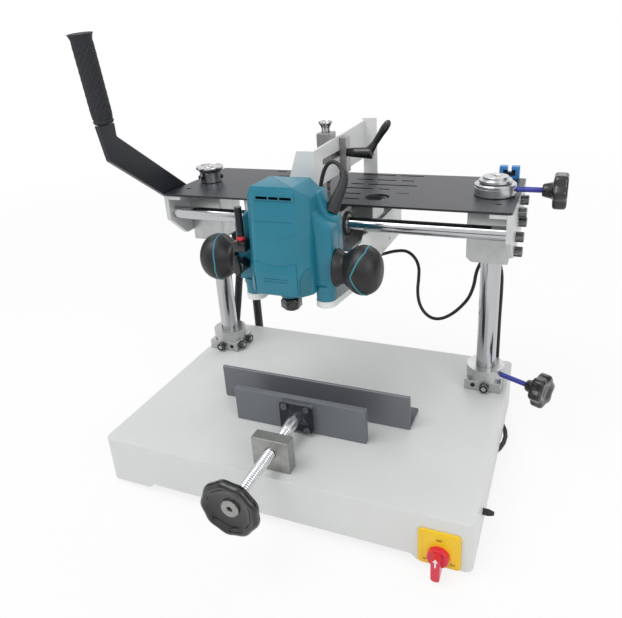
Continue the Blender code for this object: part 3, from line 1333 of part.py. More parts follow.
def make_stylus_holder(bolt_z):
    """The holder block with its wing and bolt through the slot, and the stylus pin with its knob."""
    right = BRIDGE_X - GAP
    left = right - HOLDER_WIDTH
    half = HOLDER_DEPTH / 2
    low = (left, STYLUS_Y - half, HOLDER_TOP - HOLDER_HEIGHT)
    holder = add_box("stylus_holder", low, (right, STYLUS_Y + half, HOLDER_TOP), "grey_steel")
    bevel(holder, EDGE)
    wing_top = PLATE_TOP + HOLDER_WING_RISE
    wing_low = (left + EDGE, STYLUS_Y, wing_top - HOLDER_WING_HEIGHT)
    wing_high = (right - GAP, COLUMN_Y + CLAMP_BAR_DEPTH / 2, wing_top)
    join(holder, add_box("holder_wing", wing_low, wing_high))
    bolt_end = (BRIDGE_X + BRIDGE_THICK, COLUMN_Y, bolt_z)
    bolt_root = (left + HOLDER_WIDTH / 2, *bolt_end[1:])
    bolt = add_rod("holder_bolt", bolt_root, bolt_end, CLAMP_BOLT_RADIUS, steps=SMALL_STEPS)
    join(holder, bolt)
    x = left + HOLDER_WIDTH / 2
    under = (x, STYLUS_Y, HOLDER_TOP - HOLDER_HEIGHT - OVERRUN)
    over = (x, STYLUS_Y, HOLDER_TOP + OVERRUN)
    cut(holder, add_rod("stylus_bore", under, over, STYLUS_RADIUS + GAP, steps=SMALL_STEPS))
    seat = HOLDER_TOP + GAP
    tip = PLATE_TOP + STYLUS_POINT_RISE - seat
    head, rim, r = STYLUS_HEAD_HEIGHT, STYLUS_HEAD_RIM, STYLUS_RADIUS
    pin = [
        (0, head),
        (STYLUS_HEAD_RADIUS, head),
        (STYLUS_HEAD_RADIUS, head - rim),
        (STYLUS_NECK_RADIUS, STYLUS_NECK),
        (STYLUS_NECK_RADIUS, 0),
        (r, 0),
        (r, tip + STYLUS_TIP + rim),
        (STYLUS_TIP_RADIUS, tip + STYLUS_TIP),
        (STYLUS_TIP_RADIUS, tip),
        (0, tip),
    ]
    add_turned("stylus", pin, (x, STYLUS_Y, seat), material="chrome", steps=SMALL_STEPS)


def housing_outline(share=1):
    """The eight-sided section of the router's housing, or a share of it round its middle."""
    back = HOUSING_FRONT + HOUSING_DEPTH
    middle = (HOUSING_FRONT + back) / 2
    panel, half, slope = HOUSING_PANEL / 2, HOUSING_WIDTH / 2, HOUSING_BEVEL
    corners = [
        (-panel, HOUSING_FRONT),
        (panel, HOUSING_FRONT),
        (half, HOUSING_FRONT + slope),
        (half, back - slope),
        (panel, back),
        (-panel, back),
        (-half, back - slope),
        (-half, HOUSING_FRONT + slope),
    ]
    return [(ROUTER_X + across * share, middle + (y - middle) * share) for across, y in corners]


def make_router():
    """The router's housing with its shoulders and column sleeves, and the collet nut."""
    x, y = ROUTER_X, ROUTER_Y
    housing = plate_xy("router_housing", [housing_outline()], HOUSING_BOTTOM, HOUSING_TOP, "teal_plastic")
    bevel(housing, SOFT_EDGE)
    lid_low = HOUSING_TOP - HOUSING_CAP
    lid = plate_xy("housing_lid", [housing_outline(HOUSING_CAP_SHARE)], lid_low, HOUSING_TOP + HOUSING_CAP)
    bevel(lid, SOFT_EDGE)
    join(housing, lid)
    for side, sign in (("left", -1), ("right", 1)):
        add_shoulder(housing, side, sign)
    skirt_low = (x, y, HOUSING_BOTTOM - SKIRT_DROP)
    skirt_top = (x, y, HOUSING_BOTTOM + OVERRUN)
    join(housing, add_rod("collet_skirt", skirt_low, skirt_top, SKIRT_TIP_RADIUS, None, SKIRT_RADIUS, 28))
    add_rod_boss(housing)
    for side, sign in (("left", -1), ("right", 1)):
        column_x = x + sign * SLEEVE_SPACING / 2
        start = (column_x, y, FLOOR_TOP - OVERRUN)
        end = (column_x, y, FLOOR_TOP + PLUNGE_HEIGHT + RUN_GAP)
        cut(housing, add_rod(f"{side}_plunge_bore", start, end, PLUNGE_RADIUS + RUN_GAP, steps=24))
    r, neck, chamfer = COLLET_RADIUS, COLLET_NECK, COLLET_CHAMFER
    collet = [
        (0, 0),
        (COLLET_NECK_RADIUS, 0),
        (COLLET_NECK_RADIUS, -neck),
        (r, -neck - EDGE),
        (r, chamfer - COLLET_HEIGHT),
        (r - chamfer, -COLLET_HEIGHT),
        (0, -COLLET_HEIGHT),
    ]
    top = (x, y, HOUSING_BOTTOM - SKIRT_DROP - GAP)
    add_turned("collet_nut", collet, top, material="black_metal", steps=24)


def add_shoulder(housing, side, sign):
    """One side of the housing that holds a plunge column, with the sleeve under it."""
    inner = sign * (HOUSING_WIDTH / 2 - BASE_EDGE)
    outer = sign * SHOULDER_REACH
    slope = SHOULDER_SLOPE
    shape = [
        (inner, HOUSING_BOTTOM + SHOULDER_LIFT),
        (outer, HOUSING_BOTTOM + SHOULDER_LIFT),
        (outer, SHOULDER_TOP - slope),
        (outer - sign * slope, SHOULDER_TOP),
        (inner, SHOULDER_TOP),
    ]
    outline = [(ROUTER_X + across, up) for across, up in shape]
    shoulder = plate_xz(f"{side}_shoulder", [outline], SHOULDER_FRONT, SHOULDER_BACK)
    bevel(shoulder, SOFT_EDGE)
    join(housing, shoulder)
    centre = ROUTER_X + sign * SLEEVE_SPACING / 2
    low = (centre, ROUTER_Y, FLOOR_TOP + GAP)
    high = (centre, ROUTER_Y, HOUSING_BOTTOM + OVERRUN)
    join(housing, add_rod(f"{side}_sleeve", low, high, SLEEVE_RADIUS, steps=28))


def add_rod_boss(housing):
    """The boss on the left shoulder through which the depth rod slides."""
    half = ROD_BOSS_WIDTH / 2
    low = (ROD_BOSS_X - half, SHOULDER_FRONT + LAP - ROD_BOSS_DEPTH, ROD_BOSS_BOTTOM)
    high = (ROD_BOSS_X + half, SHOULDER_FRONT + LAP, ROD_BOSS_BOTTOM + ROD_BOSS_HEIGHT)
    join(housing, add_box("rod_boss", low, high))
    y = SHOULDER_FRONT - DEPTH_ROD_INSET
    start = (ROD_BOSS_X, y, ROD_BOSS_BOTTOM - OVERRUN / 2)
    end = (ROD_BOSS_X, y, ROD_BOSS_BOTTOM + ROD_BOSS_HEIGHT + OVERRUN)
    cut(housing, add_rod("rod_boss_bore", start, end, DEPTH_ROD_RADIUS + RUN_GAP, steps=SMALL_STEPS))


def make_handles():
    """The two ball handles on their tapered necks."""
    for side, sign in (("left", -1), ("right", 1)):
        inner = (ROUTER_X + sign * (SHOULDER_REACH + GAP), ROUTER_Y, HANDLE_Z)
        centre = (ROUTER_X + sign * HANDLE_REACH, ROUTER_Y, HANDLE_Z)
        size = (HANDLE_HALF_WIDTH, HANDLE_HALF_DEPTH, HANDLE_HALF_HEIGHT)
        shape = bmesh.new()
        bmesh.ops.create_uvsphere(shape, u_segments=24, v_segments=14, radius=1)
        bmesh.ops.scale(shape, vec=size, verts=shape.verts)
        mesh = mesh_from(f"{side}_handle", shape)
        ball = smooth(add_object(f"{side}_handle", mesh, Matrix.Translation(centre), "black_plastic"))
        neck = add_rod(f"{side}_neck", inner, centre, HANDLE_ROOT_RADIUS, None, HANDLE_NECK_RADIUS, 28)
        join(ball, neck)


def make_controls():
    """The depth rod with its ring, and the plunge lock's winged knob."""
    y = SHOULDER_FRONT - DEPTH_ROD_INSET
    low = ROD_BOSS_BOTTOM - DEPTH_ROD_DROP
    ring = ROD_BOSS_BOTTOM + ROD_BOSS_HEIGHT + GAP - low
    top = DEPTH_ROD_LENGTH
    r, big = DEPTH_ROD_RADIUS, DEPTH_RING_RADIUS
    rod = [
        (0, top),
        (r, top),
        (r, ring + DEPTH_RING_HEIGHT),
        (big, ring + DEPTH_RING_HEIGHT),
        (big, ring),
        (r, ring),
        (r, 0),
        (0, 0),
    ]
    add_turned("depth_rod", rod, (ROD_BOSS_X, y, low), material="black_plastic", steps=SMALL_STEPS)
    face = SHOULDER_FRONT - GAP
    start = (LOCK_X, face, HANDLE_Z)
    end = (LOCK_X, face - LOCK_LENGTH, HANDLE_Z)
    knob = add_rod("lock_knob", start, end, LOCK_RADIUS, "black_plastic", steps=24)
    half = LOCK_WING_WIDTH / 2
    wing = rectangle((LOCK_X - half, HANDLE_Z - LOCK_WING_BACK), (LOCK_X + half, HANDLE_Z + LOCK_WING_REACH))
    front = face - LOCK_LENGTH - LOCK_WING_THICK / 2
    shape = [rounded(wing, half - EDGE)]
    join(knob, plate_xz("lock_wing", shape, front, front + LOCK_WING_THICK))


# The cord boot's middle line, from its foot on the router's right shoulder to where the cord leaves it
BOOT_ROUTE = [
    (0, 0, 0),
    (5 * MM, 7 * MM, 13.2 * MM),
    (10 * MM, 14.5 * MM, 26.7 * MM),
    (12 * MM, 21.5 * MM, 37.7 * MM),
    (10.8 * MM, 25.4 * MM, 43.3 * MM),
    (7.8 * MM, 28.8 * MM, 47.1 * MM),
]

# The router's cord: over behind the router and down under the right cheek, from the boot's foot; then
# a hanging loop and the head block's eye, from under that block; then down to the right column's foot
CORD_FROM_BOOT = [
    (7.4 * MM, 29.15 * MM, 47.5 * MM),
    (1.5 * MM, 34 * MM, 53.7 * MM),
    (-6 * MM, 37.5 * MM, 57.2 * MM),
    (-15 * MM, 39.5 * MM, 55.2 * MM),
    (-22.5 * MM, 40 * MM, 45.2 * MM),
    (-27.5 * MM, 40 * MM, 29.7 * MM),
    (-31 * MM, 40 * MM, 11.7 * MM),
    (-33.5 * MM, 40 * MM, -8.3 * MM),
    (-34.5 * MM, 40 * MM, -35.3 * MM),
    (-32 * MM, 43.5 * MM, -68.3 * MM),
    (-23 * MM, 58 * MM, -92.3 * MM),
    (-18 * MM, 82 * MM, -106.3 * MM),
    (-14 * MM, 114 * MM, -115.3 * MM),
    (-11 * MM, 150 * MM, -123.3 * MM),
    (-6 * MM, 188 * MM, -131.3 * MM),
    (3 * MM, 218 * MM, -136.3 * MM),
    (19 * MM, 236 * MM, -136.3 * MM),
    (37 * MM, 239 * MM, -136.3 * MM),
    (52 * MM, 236 * MM, -145.3 * MM),
    (60 * MM, 232 * MM, -160.3 * MM),
    (61 * MM, 228 * MM, -179.3 * MM),
    (60.5 * MM, 224 * MM, -199.3 * MM),
]
CORD_FROM_HEAD = [
    (-122 * MM, 55 * MM, -114.3 * MM),
    (-113 * MM, 51 * MM, -129.3 * MM),
    (-99 * MM, 47 * MM, -137.3 * MM),
    (-83 * MM, 43 * MM, -135.3 * MM),
    (-66 * MM, 39 * MM, -124.3 * MM),
    (-50 * MM, 35 * MM, -107.3 * MM),
    (-36 * MM, 31 * MM, -86.3 * MM),
    (-28 * MM, 27 * MM, -62.3 * MM),
    (-24 * MM, 25 * MM, -37.3 * MM),
    (-16 * MM, 24 * MM, -18.3 * MM),
    (-4 * MM, 24 * MM, -11 * MM),
    (8 * MM, 24.5 * MM, -18.3 * MM),
    (13.5 * MM, 26 * MM, -37.3 * MM),
    (14.5 * MM, 28 * MM, -69.3 * MM),
]
CORD_FROM_FOOT = [
    (14 * MM, 30.5 * MM, 108.7 * MM),
    (14 * MM, 33 * MM, 63.7 * MM),
    (14 * MM, 34.5 * MM, 23.7 * MM),
    (14 * MM, 35 * MM, 0),
]

# The mains lead, down from the switch's gland to the bench and out past the right wall, from the front
# right corner; then back and away behind the base, from the rear right corner
MAINS_FROM_FRONT = [
    (-40 * MM, 72.6 * MM, 36 * MM),
    (-40.5 * MM, 88 * MM, 35.5 * MM),
    (-43 * MM, 106 * MM, 30 * MM),
    (-47 * MM, 126 * MM, 17 * MM),
    (-49 * MM, 146 * MM, 6.6 * MM),
    (-46.5 * MM, 166 * MM, 3.9 * MM),
    (-38 * MM, 189 * MM, 3.9 * MM),
    (-25 * MM, 211 * MM, 3.9 * MM),
    (-11 * MM, 231 * MM, 3.9 * MM),
    (0, 253 * MM, 3.9 * MM),
    (5.5 * MM, 277 * MM, 3.9 * MM),
]
MAINS_FROM_REAR = [
    (3.5 * MM, -92 * MM, 3.9 * MM),
    (-6 * MM, -69 * MM, 3.9 * MM),
    (-22 * MM, -49 * MM, 3.9 * MM),
    (-40 * MM, -32 * MM, 3.9 * MM),
    (-55 * MM, -14 * MM, 3.9 * MM),
    (-64 * MM, 7 * MM, 3.9 * MM),
    (-69 * MM, 29 * MM, 3.9 * MM),
    (-70 * MM, 55.7 * MM, 3.9 * MM),
]


def make_router_cord():
    """The tapered boot on the router's right shoulder and the cord that it guards."""
    points, length = smooth_route(from_place(BOOT_FOOT, BOOT_ROUTE), BOOT_STEP)
    radii = list(np.linspace(BOOT_ROOT_RADIUS, BOOT_TIP_RADIUS, len(points)))
    boot = add_tube("cord_boot", points, BOOT_ROOT_RADIUS, "black_rubber", 3, radii)
    cut_boot_flat(boot)
    print(f"cord boot: {length:.3f} m")
    route = from_place(BOOT_FOOT, CORD_FROM_BOOT)
    route += from_place((COLUMN_X, COLUMN_Y, BLOCK_BOTTOM), CORD_FROM_HEAD)
    route += from_place((COLUMN_X, COLUMN_Y, SEAT), CORD_FROM_FOOT)
    points, length = smooth_route(route, ROUTER_CORD_STEP)
    add_tube("router_cord", points, ROUTER_CORD_RADIUS, "black_rubber")
    print(f"router cord: {length:.3f} m")


def cut_boot_flat(boot):
    """Turn the boot's tube into a mesh and cut its foot level with the shoulder."""
    bpy.context.view_layer.update()
    graph = bpy.context.evaluated_depsgraph_get()
    mesh = bpy.data.meshes.new_from_object(boot.evaluated_get(graph))
    shape = bmesh.new()
    shape.from_mesh(mesh)
    bmesh.ops.remove_doubles(shape, verts=shape.verts, dist=MERGE)
    bmesh.ops.recalc_face_normals(shape, faces=shape.faces)
    place = boot.matrix_local.copy()
    bpy.data.objects.remove(boot, do_unlink=True)
    bpy.data.meshes.remove(mesh)
    solid = smooth(add_object("cord_boot", mesh_from("cord_boot", shape), place, "black_rubber"))
    half = 2 * BOOT_ROOT_RADIUS
    x, y, foot = BOOT_FOOT
    cut(solid, add_box("below_boot", (x - half, y - half, foot - OVERRUN), (x + half, y + half, foot)))


def coil_points():
    """Two layers of loops that spiral in and out again, with a straight lead and tail."""
    steps = round(COIL_TURNS * COIL_LOOP_STEPS)
    centre = Vector(COIL_CENTRE)
    points = [centre + Vector((COIL_RADIUS, -2 * MAINS_RADIUS, 0))]
    for turns in np.linspace(0, COIL_TURNS, steps + 1):
        reach = COIL_RADIUS - COIL_PITCH * min(turns, COIL_TURNS - turns)
        climbed = (turns - COIL_TURNS / 2) / COIL_CLIMB_SHARE + 0.5
        rise = COIL_PITCH * min(1, max(0, climbed))
        angle = FULL_TURN * turns
        points.append(centre + Vector((reach * math.cos(angle), reach * math.sin(angle), rise)))
    end = FULL_TURN * COIL_TURNS
    way = Vector((-math.sin(end), math.cos(end), 0))
    points.append(points[-1] + way * COIL_TAIL)
    return points, way


def least_gap(points, diameter):
    """The least clear distance between stretches of a tube more than three diameters apart along it."""
    fine = []
    for before, after in zip(points, points[1:]):
        fine += [before.lerp(after, share) for share in np.linspace(0, 1, 6, endpoint=False)]
    places = np.array([tuple(point) for point in fine])
    along = np.cumsum([0, *np.linalg.norm(np.diff(places, axis=0), axis=1)])
    least = math.inf
    for index, place in enumerate(places):
        far = along - along[index] > 3 * diameter
        if far.any():
            least = min(least, np.linalg.norm(places[far] - place, axis=1).min())
    return least - diameter


def make_mains_lead():
    """The mains lead from the switch to its coil behind the base, and its plug."""
    route = from_place((BASE_WIDTH / 2, 0, 0), MAINS_FROM_FRONT)
    route += from_place((BASE_WIDTH / 2, BASE_DEPTH, 0), MAINS_FROM_REAR)
    points, length = smooth_route(route, MAINS_STEP)
    add_tube("mains_cord", points, MAINS_RADIUS, "black_rubber")
    loops, way = coil_points()
    coil = add_tube("mains_coil", loops, MAINS_RADIUS, "black_rubber", 1)
    coil.data.twist_mode = "Z_UP"
    wound = sum((after - before).length for before, after in zip(loops, loops[1:]))
    print(f"mains lead: {length:.3f} m free, {wound:.3f} m wound")
    print(f"least gap in the coil: {least_gap(loops, 2 * MAINS_RADIUS) / MM:.2f} mm")
    make_plug(loops[-1] + way * GAP, way)


def make_plug(start, way):
    """The plug beside the coil: a tapered collar, a body on the bench and three round pins."""
    body_start = start + way * PLUG_COLLAR_LENGTH
    end = body_start + way * PLUG_LENGTH
    half = PLUG_WIDTH / 2
    across = Vector((0, 0, 1)).cross(way)
    side = across * half
    corners = [body_start + side, body_start - side, end - side, end + side]
    outline = rounded([(corner.x, corner.y) for corner in corners], SOFT_EDGE)
    plug = plate_xy("mains_plug", [outline], FLOOR_CLEAR, FLOOR_CLEAR + PLUG_HEIGHT, "black_plastic")
    bevel(plug, SOFT_EDGE)
    root = body_start + way * LAP
    collar = MAINS_RADIUS + EDGE
    join(plug, add_rod("plug_collar", start, root, collar, None, PLUG_COLLAR_RADIUS, SMALL_STEPS))
    for index, side in enumerate((-1, 0, 1)):
        place = end - way * LAP + across * (side * PLUG_PIN_SPREAD / 2)
        tip = place + way * (PLUG_PIN_LENGTH + LAP)
        join(plug, add_rod(f"plug_pin_{index}", place, tip, PLUG_PIN_RADIUS, steps=16))


def centre_machine():
    """Put the middle of the machine's footprint, its cords left out, at the origin."""
    star_reach = COLLAR_RADIUS + GAP + LOWER_STUD + STAR_HUB_LENGTH + STAR_THICK
    right = COLUMN_X + star_reach * math.cos(LOWER_KNOB_TURN)
    right -= STAR_RADIUS * math.sin(LOWER_KNOB_TURN)
    left = -END_OUTER - LEVER_STANDOFF - LEVER_THICK / 2 - GRIP_END_RADIUS
    back = REAR_WALL_Y + REAR_WALL_THICK
    MACHINE.location = (-(left + right) / 2, -(WHEEL_FRONT + back) / 2, 0)


make_base()
make_switch()
make_columns()
make_column_caps()
make_star_knob("lower_star_knob", LOWER_KNOB_Z, LOWER_STUD, LOWER_KNOB_TURN)
make_star_knob("upper_star_knob", UPPER_KNOB_Z, UPPER_STUD, UPPER_KNOB_TURN)
make_end_plates()
make_guide_rods()
make_template_plate()
make_lever()
make_vice()
make_strut()
make_conduit()
make_bearings()
make_cross_slide()
make_bracket()
make_bridge()
make_stylus()
make_router()
make_handles()
make_controls()
make_router_cord()
make_mains_lead()
centre_machine()
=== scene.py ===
"""Duplicating router, dressed: its finishes, its cords, and the details that plain solids leave out.

Points are given in millimetres, as in the part's source: heights from the bench, depths from the base's
front wall and widths from the base's middle. The function at() takes them to the model's frame.
"""

import math

import bmesh
import bpy
import numpy as np
from mathutils import Matrix, Vector


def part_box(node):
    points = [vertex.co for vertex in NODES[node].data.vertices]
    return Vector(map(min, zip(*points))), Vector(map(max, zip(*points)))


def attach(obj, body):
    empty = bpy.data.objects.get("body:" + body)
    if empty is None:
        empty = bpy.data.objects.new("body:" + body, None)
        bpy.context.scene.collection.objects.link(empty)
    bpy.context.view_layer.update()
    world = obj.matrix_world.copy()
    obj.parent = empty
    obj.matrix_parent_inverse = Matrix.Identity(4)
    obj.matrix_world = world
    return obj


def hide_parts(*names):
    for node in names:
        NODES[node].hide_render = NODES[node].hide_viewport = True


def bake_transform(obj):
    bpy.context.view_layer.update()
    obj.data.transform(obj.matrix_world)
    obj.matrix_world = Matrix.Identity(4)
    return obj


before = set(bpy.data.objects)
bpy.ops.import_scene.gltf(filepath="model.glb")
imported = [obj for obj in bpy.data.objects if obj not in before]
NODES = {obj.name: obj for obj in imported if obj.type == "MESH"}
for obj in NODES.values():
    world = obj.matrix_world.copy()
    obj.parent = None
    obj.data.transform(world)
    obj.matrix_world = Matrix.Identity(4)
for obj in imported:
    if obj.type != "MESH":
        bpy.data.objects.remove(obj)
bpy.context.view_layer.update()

MM = 0.001
FULL_TURN = 2 * math.pi
FRONT = (0, -1, 0)
BACK = (0, 1, 0)
RIGHT = (1, 0, 0)
UP = (0, 0, 1)
PAN_LOW, PAN_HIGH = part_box("base_pan")
WORK_POINT = Vector(((PAN_LOW.x + PAN_HIGH.x) / 2, PAN_LOW.y, 0))


def at(x, y, z):
    """A point of the machine, given in millimetres, in the frame's metres."""
    return Vector((x, y, z)) * MM + WORK_POINT


def add_object(name, data):
    """An object linked to the scene."""
    obj = bpy.data.objects.new(name, data)
    bpy.context.scene.collection.objects.link(obj)
    return obj


def mesh_from(name, shape):
    """A mesh made from a bmesh, which isn't kept."""
    mesh = bpy.data.meshes.new(name)
    shape.to_mesh(mesh)
    shape.free()
    return mesh


# The photograph's camera: where it stands, how it is turned, and its frame
PHOTO_WIDTH = 622
PHOTO_HEIGHT = 618
FOCAL_PIXELS = 608.46
CENTRE_PIXEL = (323.84, 279.62)
SENSOR = 36
CAMERA_PLACE = (338.0, -556.2, 626.3)
CAMERA_YAW = math.radians(23.31)
CAMERA_PITCH = math.radians(22.55)
CAMERA_ROLL = math.radians(-3.37)


def make_camera():
    """The camera at the photograph's viewing angle."""
    forward = Vector((
        -math.sin(CAMERA_YAW) * math.cos(CAMERA_PITCH),
        math.cos(CAMERA_YAW) * math.cos(CAMERA_PITCH),
        -math.sin(CAMERA_PITCH),
    ))
    level = forward.cross(Vector(UP)).normalized()
    above = level.cross(forward)
    right = level * math.cos(CAMERA_ROLL) + above * math.sin(CAMERA_ROLL)
    up = above * math.cos(CAMERA_ROLL) - level * math.sin(CAMERA_ROLL)
    data = bpy.data.cameras.new("camera")
    data.sensor_fit = "HORIZONTAL"
    data.sensor_width = SENSOR
    data.lens = FOCAL_PIXELS / PHOTO_WIDTH * SENSOR
    data.shift_x = (PHOTO_WIDTH / 2 - CENTRE_PIXEL[0]) / PHOTO_WIDTH
    data.shift_y = (CENTRE_PIXEL[1] - PHOTO_HEIGHT / 2) / PHOTO_WIDTH
    camera = add_object("camera", data)
    turn = Matrix((right, up, -forward)).transposed().to_4x4()
    camera.matrix_world = Matrix.Translation(at(*CAMERA_PLACE)) @ turn
    bpy.context.scene.camera = camera


def new_tree(name):
    """A material's node tree, cleared, with its output."""
    material = bpy.data.materials.new(name)
    material.use_nodes = True
    tree = material.node_tree
    tree.nodes.clear()
    output = tree.nodes.new("ShaderNodeOutputMaterial")
    return material, tree, output


def add_node(tree, kind, inputs=(), **settings):
    """A shader node with its settings; each input is a value or another node's output."""
    node = tree.nodes.new("ShaderNode" + kind)
    for name, value in settings.items():
        setattr(node, name, value)
    for name, value in dict(inputs).items():
        if isinstance(value, bpy.types.NodeSocket):
            tree.links.new(value, node.inputs[name])
        else:
            node.inputs[name].default_value = value
    return node


# Where the tone's patches begin and end, which corners are worn, and how strong the finest details are
PATCH_ENDS = (0.3, 0.7)
WORN = (0.52, 0.62)
LEAST_ROUGHNESS = 0.03
COAT_ROUGHNESS = 0.15
BUMP_STRENGTH = 0.6


def make_finish(
    name, colour, roughness, metallic=0, tone=0.06, tone_size=30, spread=0.06, grain=0.3, grain_depth=0.01,
    stretch=(1, 1, 1), coat=0, edge=None,
):
    """A moulded, painted or machined finish: sizes are in millimetres, and stretch draws the grain out."""
    material, tree, output = new_tree(name)
    place = add_node(tree, "TexCoord").outputs["Object"]
    size = 1 / (tone_size * MM)
    patches = add_node(tree, "TexNoise", {"Vector": place, "Scale": size, "Detail": 5, "Roughness": 0.6})
    ramp = add_node(tree, "ValToRGB", {"Fac": patches.outputs["Fac"]})
    for element, position, share in zip(ramp.color_ramp.elements, PATCH_ENDS, (1 - tone, 1 + tone)):
        element.position = position
        element.color = (*[min(1, channel * share) for channel in colour], 1)
    tint = ramp.outputs["Color"]
    if edge:
        point = add_node(tree, "NewGeometry").outputs["Pointiness"]
        corner = add_node(tree, "MapRange", {"Value": point, "From Min": WORN[0], "From Max": WORN[1]})
        parts = {"Factor": corner.outputs["Result"], "A": tint, "B": (*edge, 1)}
        tint = add_node(tree, "Mix", parts, data_type="RGBA").outputs["Result"]
    drawn = add_node(tree, "Mapping", {"Vector": place, "Scale": stretch}).outputs["Vector"]
    fine = add_node(
        tree, "TexNoise", {"Vector": drawn, "Scale": 1 / (grain * MM), "Detail": 3},
    ).outputs["Fac"]
    low = max(LEAST_ROUGHNESS, roughness - spread)
    gloss = add_node(tree, "MapRange", {"Value": fine, "To Min": low, "To Max": roughness + spread})
    depth = grain_depth * MM
    bump = add_node(tree, "Bump", {"Height": fine, "Strength": BUMP_STRENGTH, "Distance": depth})
    shader = add_node(tree, "BsdfPrincipled", {
        "Base Color": tint, "Metallic": metallic, "Roughness": gloss.outputs["Result"],
        "Normal": bump.outputs["Normal"], "Coat Weight": coat, "Coat Roughness": COAT_ROUGHNESS,
    })
    tree.links.new(shader.outputs[0], output.inputs[0])
    return material


# Each finish: colour, roughness, metal, tone, its size, spread, grain, its depth, stretch, coat and edge
LOOKS = {
    "white_paint": ((0.73, 0.745, 0.735), 0.4, 0, 0.02, 90, 0.06, 0.7, 0.02),
    "pale_rubber": ((0.6, 0.61, 0.62), 0.65, 0, 0.06, 30, 0.06, 0.4, 0.05),
    "yellow_plastic": ((0.93, 0.62, 0.02), 0.38, 0, 0.04, 30, 0.06, 0.35),
    "red_plastic": ((0.72, 0.012, 0.05), 0.3, 0, 0.08, 30, 0.06, 0.3, 0.01, (1, 1, 1), 0.3),
    "black_rubber": ((0.016, 0.017, 0.019), 0.55, 0, 0.25, 4, 0.06, 0.5, 0.06),
    "black_plastic": ((0.012, 0.012, 0.014), 0.3, 0, 0.2, 8, 0.06, 0.4, 0.03),
    "black_metal": ((0.012, 0.014, 0.019), 0.38, 0, 0.12, 25, 0.06, 0.5, 0.02),
    "chrome": ((0.5, 0.505, 0.52), 0.14, 1, 0.04, 40, 0.05, 0.25, 0.002),
    "machined_aluminium": ((0.5, 0.505, 0.505), 0.32, 0.85, 0.1, 22, 0.12, 0.25, 0.012, (1, 1, 8)),
    "dark_steel": (
        (0.018, 0.021, 0.028), 0.45, 0.3, 0.28, 18, 0.1, 0.5, 0.04, (1, 1, 1), 0, (0.2, 0.21, 0.23),
    ),
    "grey_steel": (
        (0.03, 0.037, 0.046), 0.45, 0.3, 0.12, 20, 0.1, 0.4, 0.03, (1, 1, 1), 0, (0.3, 0.32, 0.35),
    ),
    "teal_plastic": ((0.014, 0.2, 0.29), 0.36, 0, 0.05, 35, 0.06, 0.35, 0.02),
    "blue_plastic": ((0.05, 0.24, 0.6), 0.36, 0, 0.1, 9, 0.06, 0.35),
    "cast_paint": ((0.66, 0.67, 0.67), 0.42, 0.25, 0.05, 15, 0.06, 0.5, 0.04),
    "brushed_steel": ((0.34, 0.34, 0.33), 0.36, 0.9, 0.15, 10, 0.12, 0.25, 0.02, (1, 1, 9)),
    "nickel_block": ((0.34, 0.345, 0.33), 0.36, 0.75, 0.1, 12, 0.12, 0.3, 0.02, (1, 8, 1)),
    "blue_stud": ((0.06, 0.07, 0.36), 0.32, 0.5, 0.15, 6, 0.06, 0.3, 0.02),
    "grip_rubber": ((0.018, 0.019, 0.024), 0.7, 0, 0.35, 3, 0.1, 1.1, 0.5),
    "black_oxide": ((0.018, 0.018, 0.02), 0.3, 0.6, 0.25, 4, 0.1, 0.3, 0.03),
    # Near-black for the walls of the housing's vents and the clip's window: painted shade inside the recesses
    "painted_shade_slot": ((0.004, 0.008, 0.012), 0.7, 0, 0.2, 5),
    "pale_teal": ((0.03, 0.25, 0.32), 0.4, 0, 0.06, 8),
    "white_mark": ((0.85, 0.85, 0.84), 0.5, 0, 0.03, 5),
    "gloss_black": ((0.006, 0.006, 0.007), 0.26, 0, 0.2, 9, 0.06, 0.5, 0.015, (1, 1, 1), 0.4),
    "grip_black": ((0.009, 0.008, 0.008), 0.4, 0, 0.25, 6, 0.06, 0.35, 0.06),
    # A darker copy of teal_plastic for the corner guards and the nose skirt: painted shade
    "painted_shade_teal": ((0.014, 0.16, 0.22), 0.38, 0, 0.06, 12, 0.06, 0.35, 0.02),
    "screw_steel": ((0.62, 0.63, 0.65), 0.24, 1, 0.12, 5, 0.1, 0.3, 0.01),
    "steel_screw": ((0.16, 0.165, 0.17), 0.26, 0.9, 0.2, 3, 0.1, 0.25),
    "bright_aluminium": ((0.56, 0.57, 0.575), 0.26, 0.95, 0.06, 9, 0.1, 0.22, 0.01, (1, 1, 7)),
    "red_ring": ((0.62, 0.03, 0.05), 0.4, 0, 0.08, 5),
    "clean_white": ((0.84, 0.85, 0.85), 0.36, 0, 0.02, 50, 0.06, 0.6, 0.015),
}
FINISHES = {name: make_finish(name, *look) for name, look in LOOKS.items()}


# The finish of each node that doesn't take its slot's
NODE_FINISHES = {
    "left_end_plate": "cast_paint", "right_end_plate": "cast_paint", "router_bracket": "clean_white",
    "bridge": "clean_white", "nut_block": "nickel_block", "clamp_bar": "brushed_steel",
    "stylus_holder": "brushed_steel",
}


def assign_finishes():
    """Give every CAD node the finish of its own slot."""
    for node in NODES.values():
        for holder in node.material_slots:
            name = holder.material.name.split(".")[0]
            if name in FINISHES:
                holder.material = FINISHES[name]
    for name, finish in NODE_FINISHES.items():
        NODES[name].material_slots[0].material = FINISHES[finish]


def add_piece(name, shape, body, finish, replaces=(), sharp=35):
    """A mesh piece from a bmesh in the frame's metres, which moves with a body."""
    bmesh.ops.recalc_face_normals(shape, faces=shape.faces)
    mesh = mesh_from(name, shape)
    mesh.shade_smooth()
    mesh.set_sharp_from_angle(angle=math.radians(sharp))
    obj = add_object(name, mesh)
    mesh.materials.append(FINISHES[finish])
    if body:
        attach(obj, body)
    if replaces:
        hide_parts(*replaces)
    return obj


